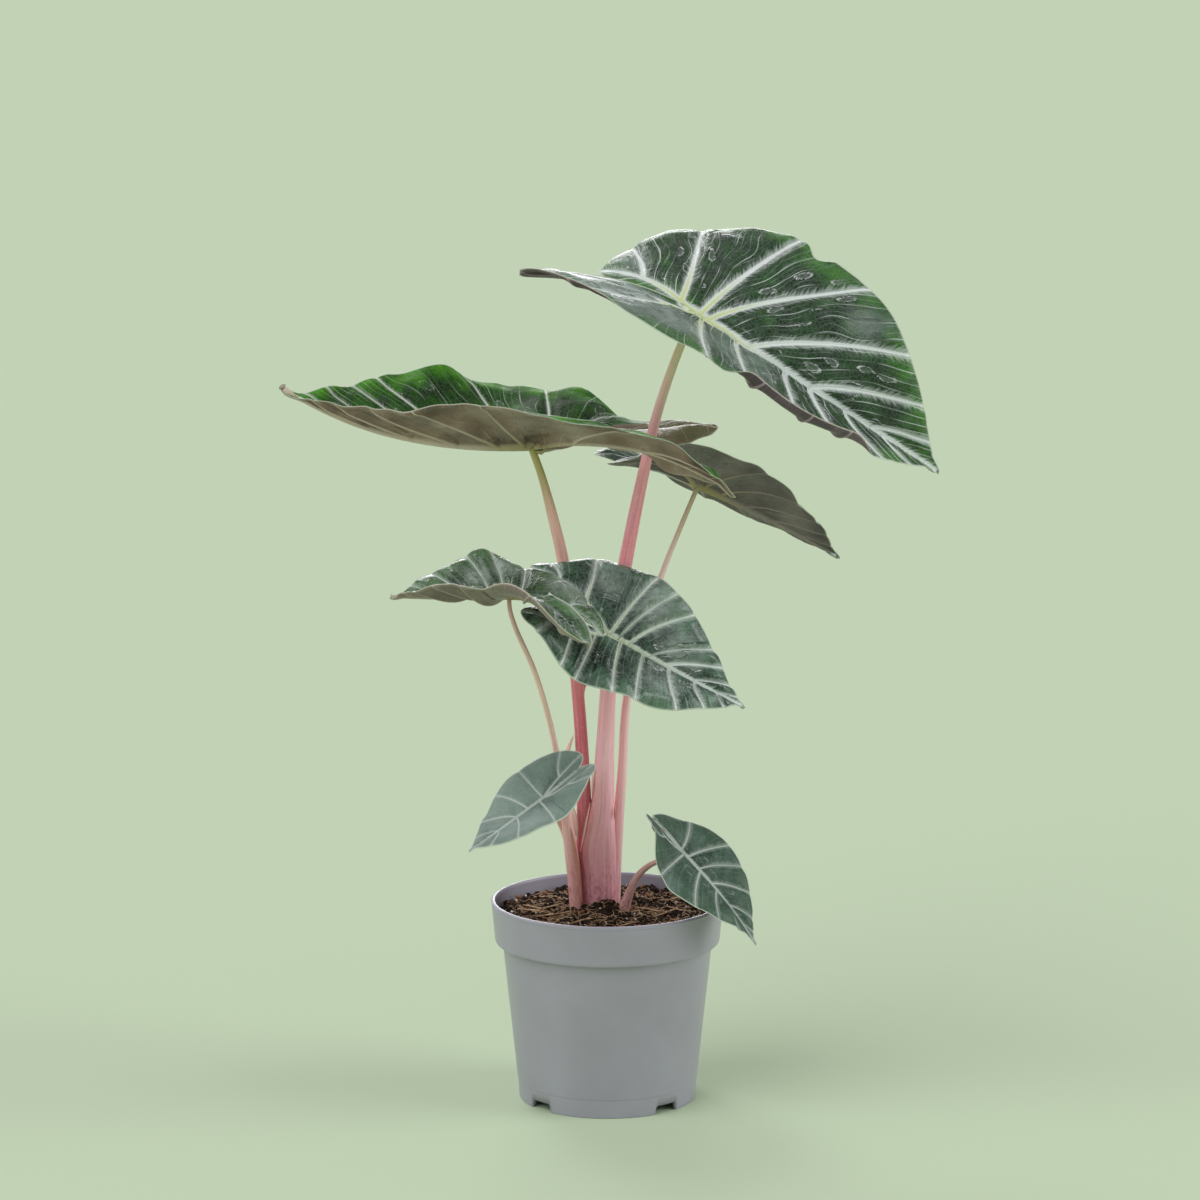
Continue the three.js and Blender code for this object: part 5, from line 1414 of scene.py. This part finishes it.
STALK_LOOKS = {
    "top_right": stalk_skin("alocasia_stalk_pink", [
        (0.0, "#d2929b"), (0.1, "#f8b0bb"), (0.3, "#ffc6cf"), (0.6, "#f0939f"), (0.8, "#f4afb3"),
        (0.86, "#f4d0bb"), (0.92, "#f0e4b6"), (1.0, "#dfee9c")], "#fde0e4", "#a65561"),
    "top_left": stalk_skin("alocasia_stalk_red", [
        (0.0, "#bb6b77"), (0.2, "#d06c7c"), (0.45, "#df7380"), (0.66, "#f7b2b0"), (0.84, "#efc7b2"),
        (0.94, "#c0bb76"), (1.0, "#a9b05a")], "#f5bcc4", "#8a4450"),
    "back_right": stalk_skin("alocasia_stalk_pale", [
        (0.0, "#e2a9ac"), (0.2, "#f8bfc4"), (0.5, "#fccfd0"), (0.8, "#f7dfd4"), (0.95, "#d0c199"),
        (1.0, "#b5b376")], "#ffebe8", "#b86e6c"),
    "middle_right": stalk_skin("alocasia_stalk_rose", [
        (0.0, "#b3727a"), (0.3, "#c97e8a"), (0.8, "#d59a9c"), (1.0, "#aaa06f")], "#e8bcba", "#7d4642"),
    "middle_left": stalk_skin("alocasia_stalk_tan", [
        (0.0, "#d6a298"), (0.15, "#f6b4b4"), (0.35, "#fdcdc8"), (0.7, "#fbd9c9"), (1.0, "#cba69b")],
        "#ffe4de", "#b8685c"),
    "edge_cream": stalk_skin(
        "sheath_margin_cream", [(0.0, "#eed6c2"), (1.0, "#f7e6d3")], "#fff2e2", "#cfa28c"),
    "edge_pale": stalk_skin("sheath_margin_pale", [(0.0, "#e9b3a6"), (1.0, "#f5cfbb")], "#fde3d3", "#b98474"),
    "edge_tan": stalk_skin("sheath_margin_tan", [(0.0, "#b9806a"), (1.0, "#d49d82")], "#e2b49b", "#8d5540"),
    "low_right": stalk_skin("alocasia_stalk_small", [
        (0.0, "#cf9c99"), (0.3, "#d6a3a0"), (1.0, "#dfb9b2")], "#efd3cd", "#8f5c52"),
}

# Building


def add_blades_and_stalks():
    """Every leaf's blade and stalk, and the sheaths' thin margins."""
    for seed, (name, leaf) in enumerate(LEAVES.items()):
        blade = build_blade(f"leaf_blade_{name}", leaf, LEAF_LOOKS[leaf["look"]], 40 + 7 * seed)
        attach(blade, "root")
        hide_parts(f"blade_{name}")
        look = STALK_LOOKS.get(name, STALK_LOOKS["middle_left"])
        stalk = build_stalk(f"leaf_stalk_{name}", STALKS[name], [look], 90 + 3 * seed)
        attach(stalk, "root")
        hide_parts(f"stalk_{name}")
    for number, (look, points) in enumerate(SHEATH_EDGES):
        edge = build_stalk(f"sheath_edge_{number}", points, [STALK_LOOKS[look]], 130 + 3 * number)
        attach(edge, "root")


add_blades_and_stalks()

pot = build_pot(pot_plastic())
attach(pot, "root")
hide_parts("pot")

soil = build_soil(damp_mix("damp_potting_mix", "#21170f", "#4a382a", 420.0))
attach(soil, "root")
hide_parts("potting_mix")


def dress_soil():
    """Crumbs, coir fibres, pale grit and single straws on the mix. Amounts are in metres and pieces
    for each square metre, sizes are shares of the shape's own size, tilts are radians."""
    tree = scatter_tree()
    wide, narrow = soil_patch("mix_surface_wide", 54.5), soil_patch("mix_surface_narrow", 49.5)
    lumps = [crumb(1.0, seed) for seed in range(5)]
    threads = [fibre(9, 0.16, 0.5, 0.5, 20), fibre(13, 0.18, 0.2, 0.9, 21), fibre(7, 0.15, 0.8, 0.4, 22),
               fibre(16, 0.17, -0.3, 1.2, 23), fibre(11, 0.2, 0.1, 0.3, 24)]
    straw = dry_fibre("dry_coir_fibre", "#96714d", "#dcbf99")
    pieces = [
        scatter("peat_crumbs_dark", tree, wide, lumps,
                damp_mix("damp_peat_crumb", "#120c08", "#3f2e21", 900.0),
                Density=170000.0, Seed=3, Smallest=0.5, Largest=1.8, Tilt=1.5, Lift=0.0002),
        scatter("bark_crumbs_brown", tree, wide, lumps, dry_fibre("composted_bark", "#5e4128", "#9a7450"),
                Density=52000.0, Seed=8, Smallest=0.4, Largest=1.4, Tilt=1.5, Lift=0.0005),
        scatter("coir_fibres", tree, narrow, threads, straw,
                Density=52000.0, Seed=4, Smallest=0.5, Largest=1.1, Tilt=0.25, Lift=0.0012),
        scatter("pale_grit", tree, wide, lumps, dry_fibre("pale_mineral_grit", "#cbbfa8", "#efe9da"),
                Density=8000.0, Seed=9, Smallest=0.3, Largest=0.75, Tilt=1.5, Lift=0.001),
        lay_straws(straw),
    ]
    for patch in (wide, narrow):
        bpy.data.objects.remove(patch)
    for piece in pieces:
        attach(piece, "root")


dress_soil()

rhizome = frame["nodes"]["rhizome_and_roots"]
rhizome.data.materials.clear()
rhizome.data.materials.append(dry_fibre("rhizome_skin", "#7a5c46", "#95775a"))

# Studio


def add_stage():
    """A wide, flat, pale green floor."""
    reach = 14000.0
    points = [(-reach, -reach, 0), (reach, -reach, 0), (reach, reach, 0), (-reach, reach, 0)]
    made, tree = new_material("painted_floor_pale_green")
    body = add(tree, "ShaderNodeBsdfPrincipled", {
        "Base Color": colour("#c2d4b5"), "Roughness": 1.0, "Specular IOR Level": 0.0})
    add(tree, "ShaderNodeOutputMaterial", {"Surface": body})
    mesh_piece("studio_floor", points, [(0, 1, 2, 3)], [made])


def add_sun(name, direction, power, spread):
    """A distant soft light that shines along the direction; the spread is its angle in degrees."""
    data = bpy.data.lights.new(name, "SUN")
    data.energy = power
    data.angle = math.radians(spread)
    lamp = bpy.data.objects.new(name, data)
    bpy.context.scene.collection.objects.link(lamp)
    lamp.rotation_euler = Vector(direction).to_track_quat("-Z", "Y").to_euler()


add_stage()
add_sun("key", (0.62, 0.5, -0.72), 1.42, 58)
add_sun("side", (-0.85, 0.12, -0.36), 1.2, 40)
add_sun("glint", (0.32, -0.7, -0.7), 0.5, 20)
add_sun("back", (0.04, -0.95, -0.27), 0.55, 22)

world = bpy.data.worlds.new("studio_air")
bpy.context.scene.world = world
world.use_nodes = True
world.node_tree.nodes["Background"].inputs["Color"].default_value = colour("#f9f2f9")
world.node_tree.nodes["Background"].inputs["Strength"].default_value = 0.42
bpy.context.scene.view_settings.view_transform = "Standard"

# The camera, fitted to the pot's ellipses: metres from the pot's axis, degrees down from level, and lens
CAMERA_AT, CAMERA_DIP, CAMERA_LENS = (-0.0038, -2.3, 0.6782), 10.3, 137.88
camera_data = bpy.data.cameras.new("view")
camera_data.sensor_width = 36.0
camera_data.lens = CAMERA_LENS
camera_data.clip_end = 60.0
camera = bpy.data.objects.new("view", camera_data)
camera.location = Vector(CAMERA_AT) + Vector((0.0, POT_SET_BACK * MM, 0.0))
camera.rotation_euler = (math.radians(90 - CAMERA_DIP), 0.0, 0.0)
bpy.context.scene.collection.objects.link(camera)
bpy.context.scene.camera = camera

bpy.context.view_layer.update()
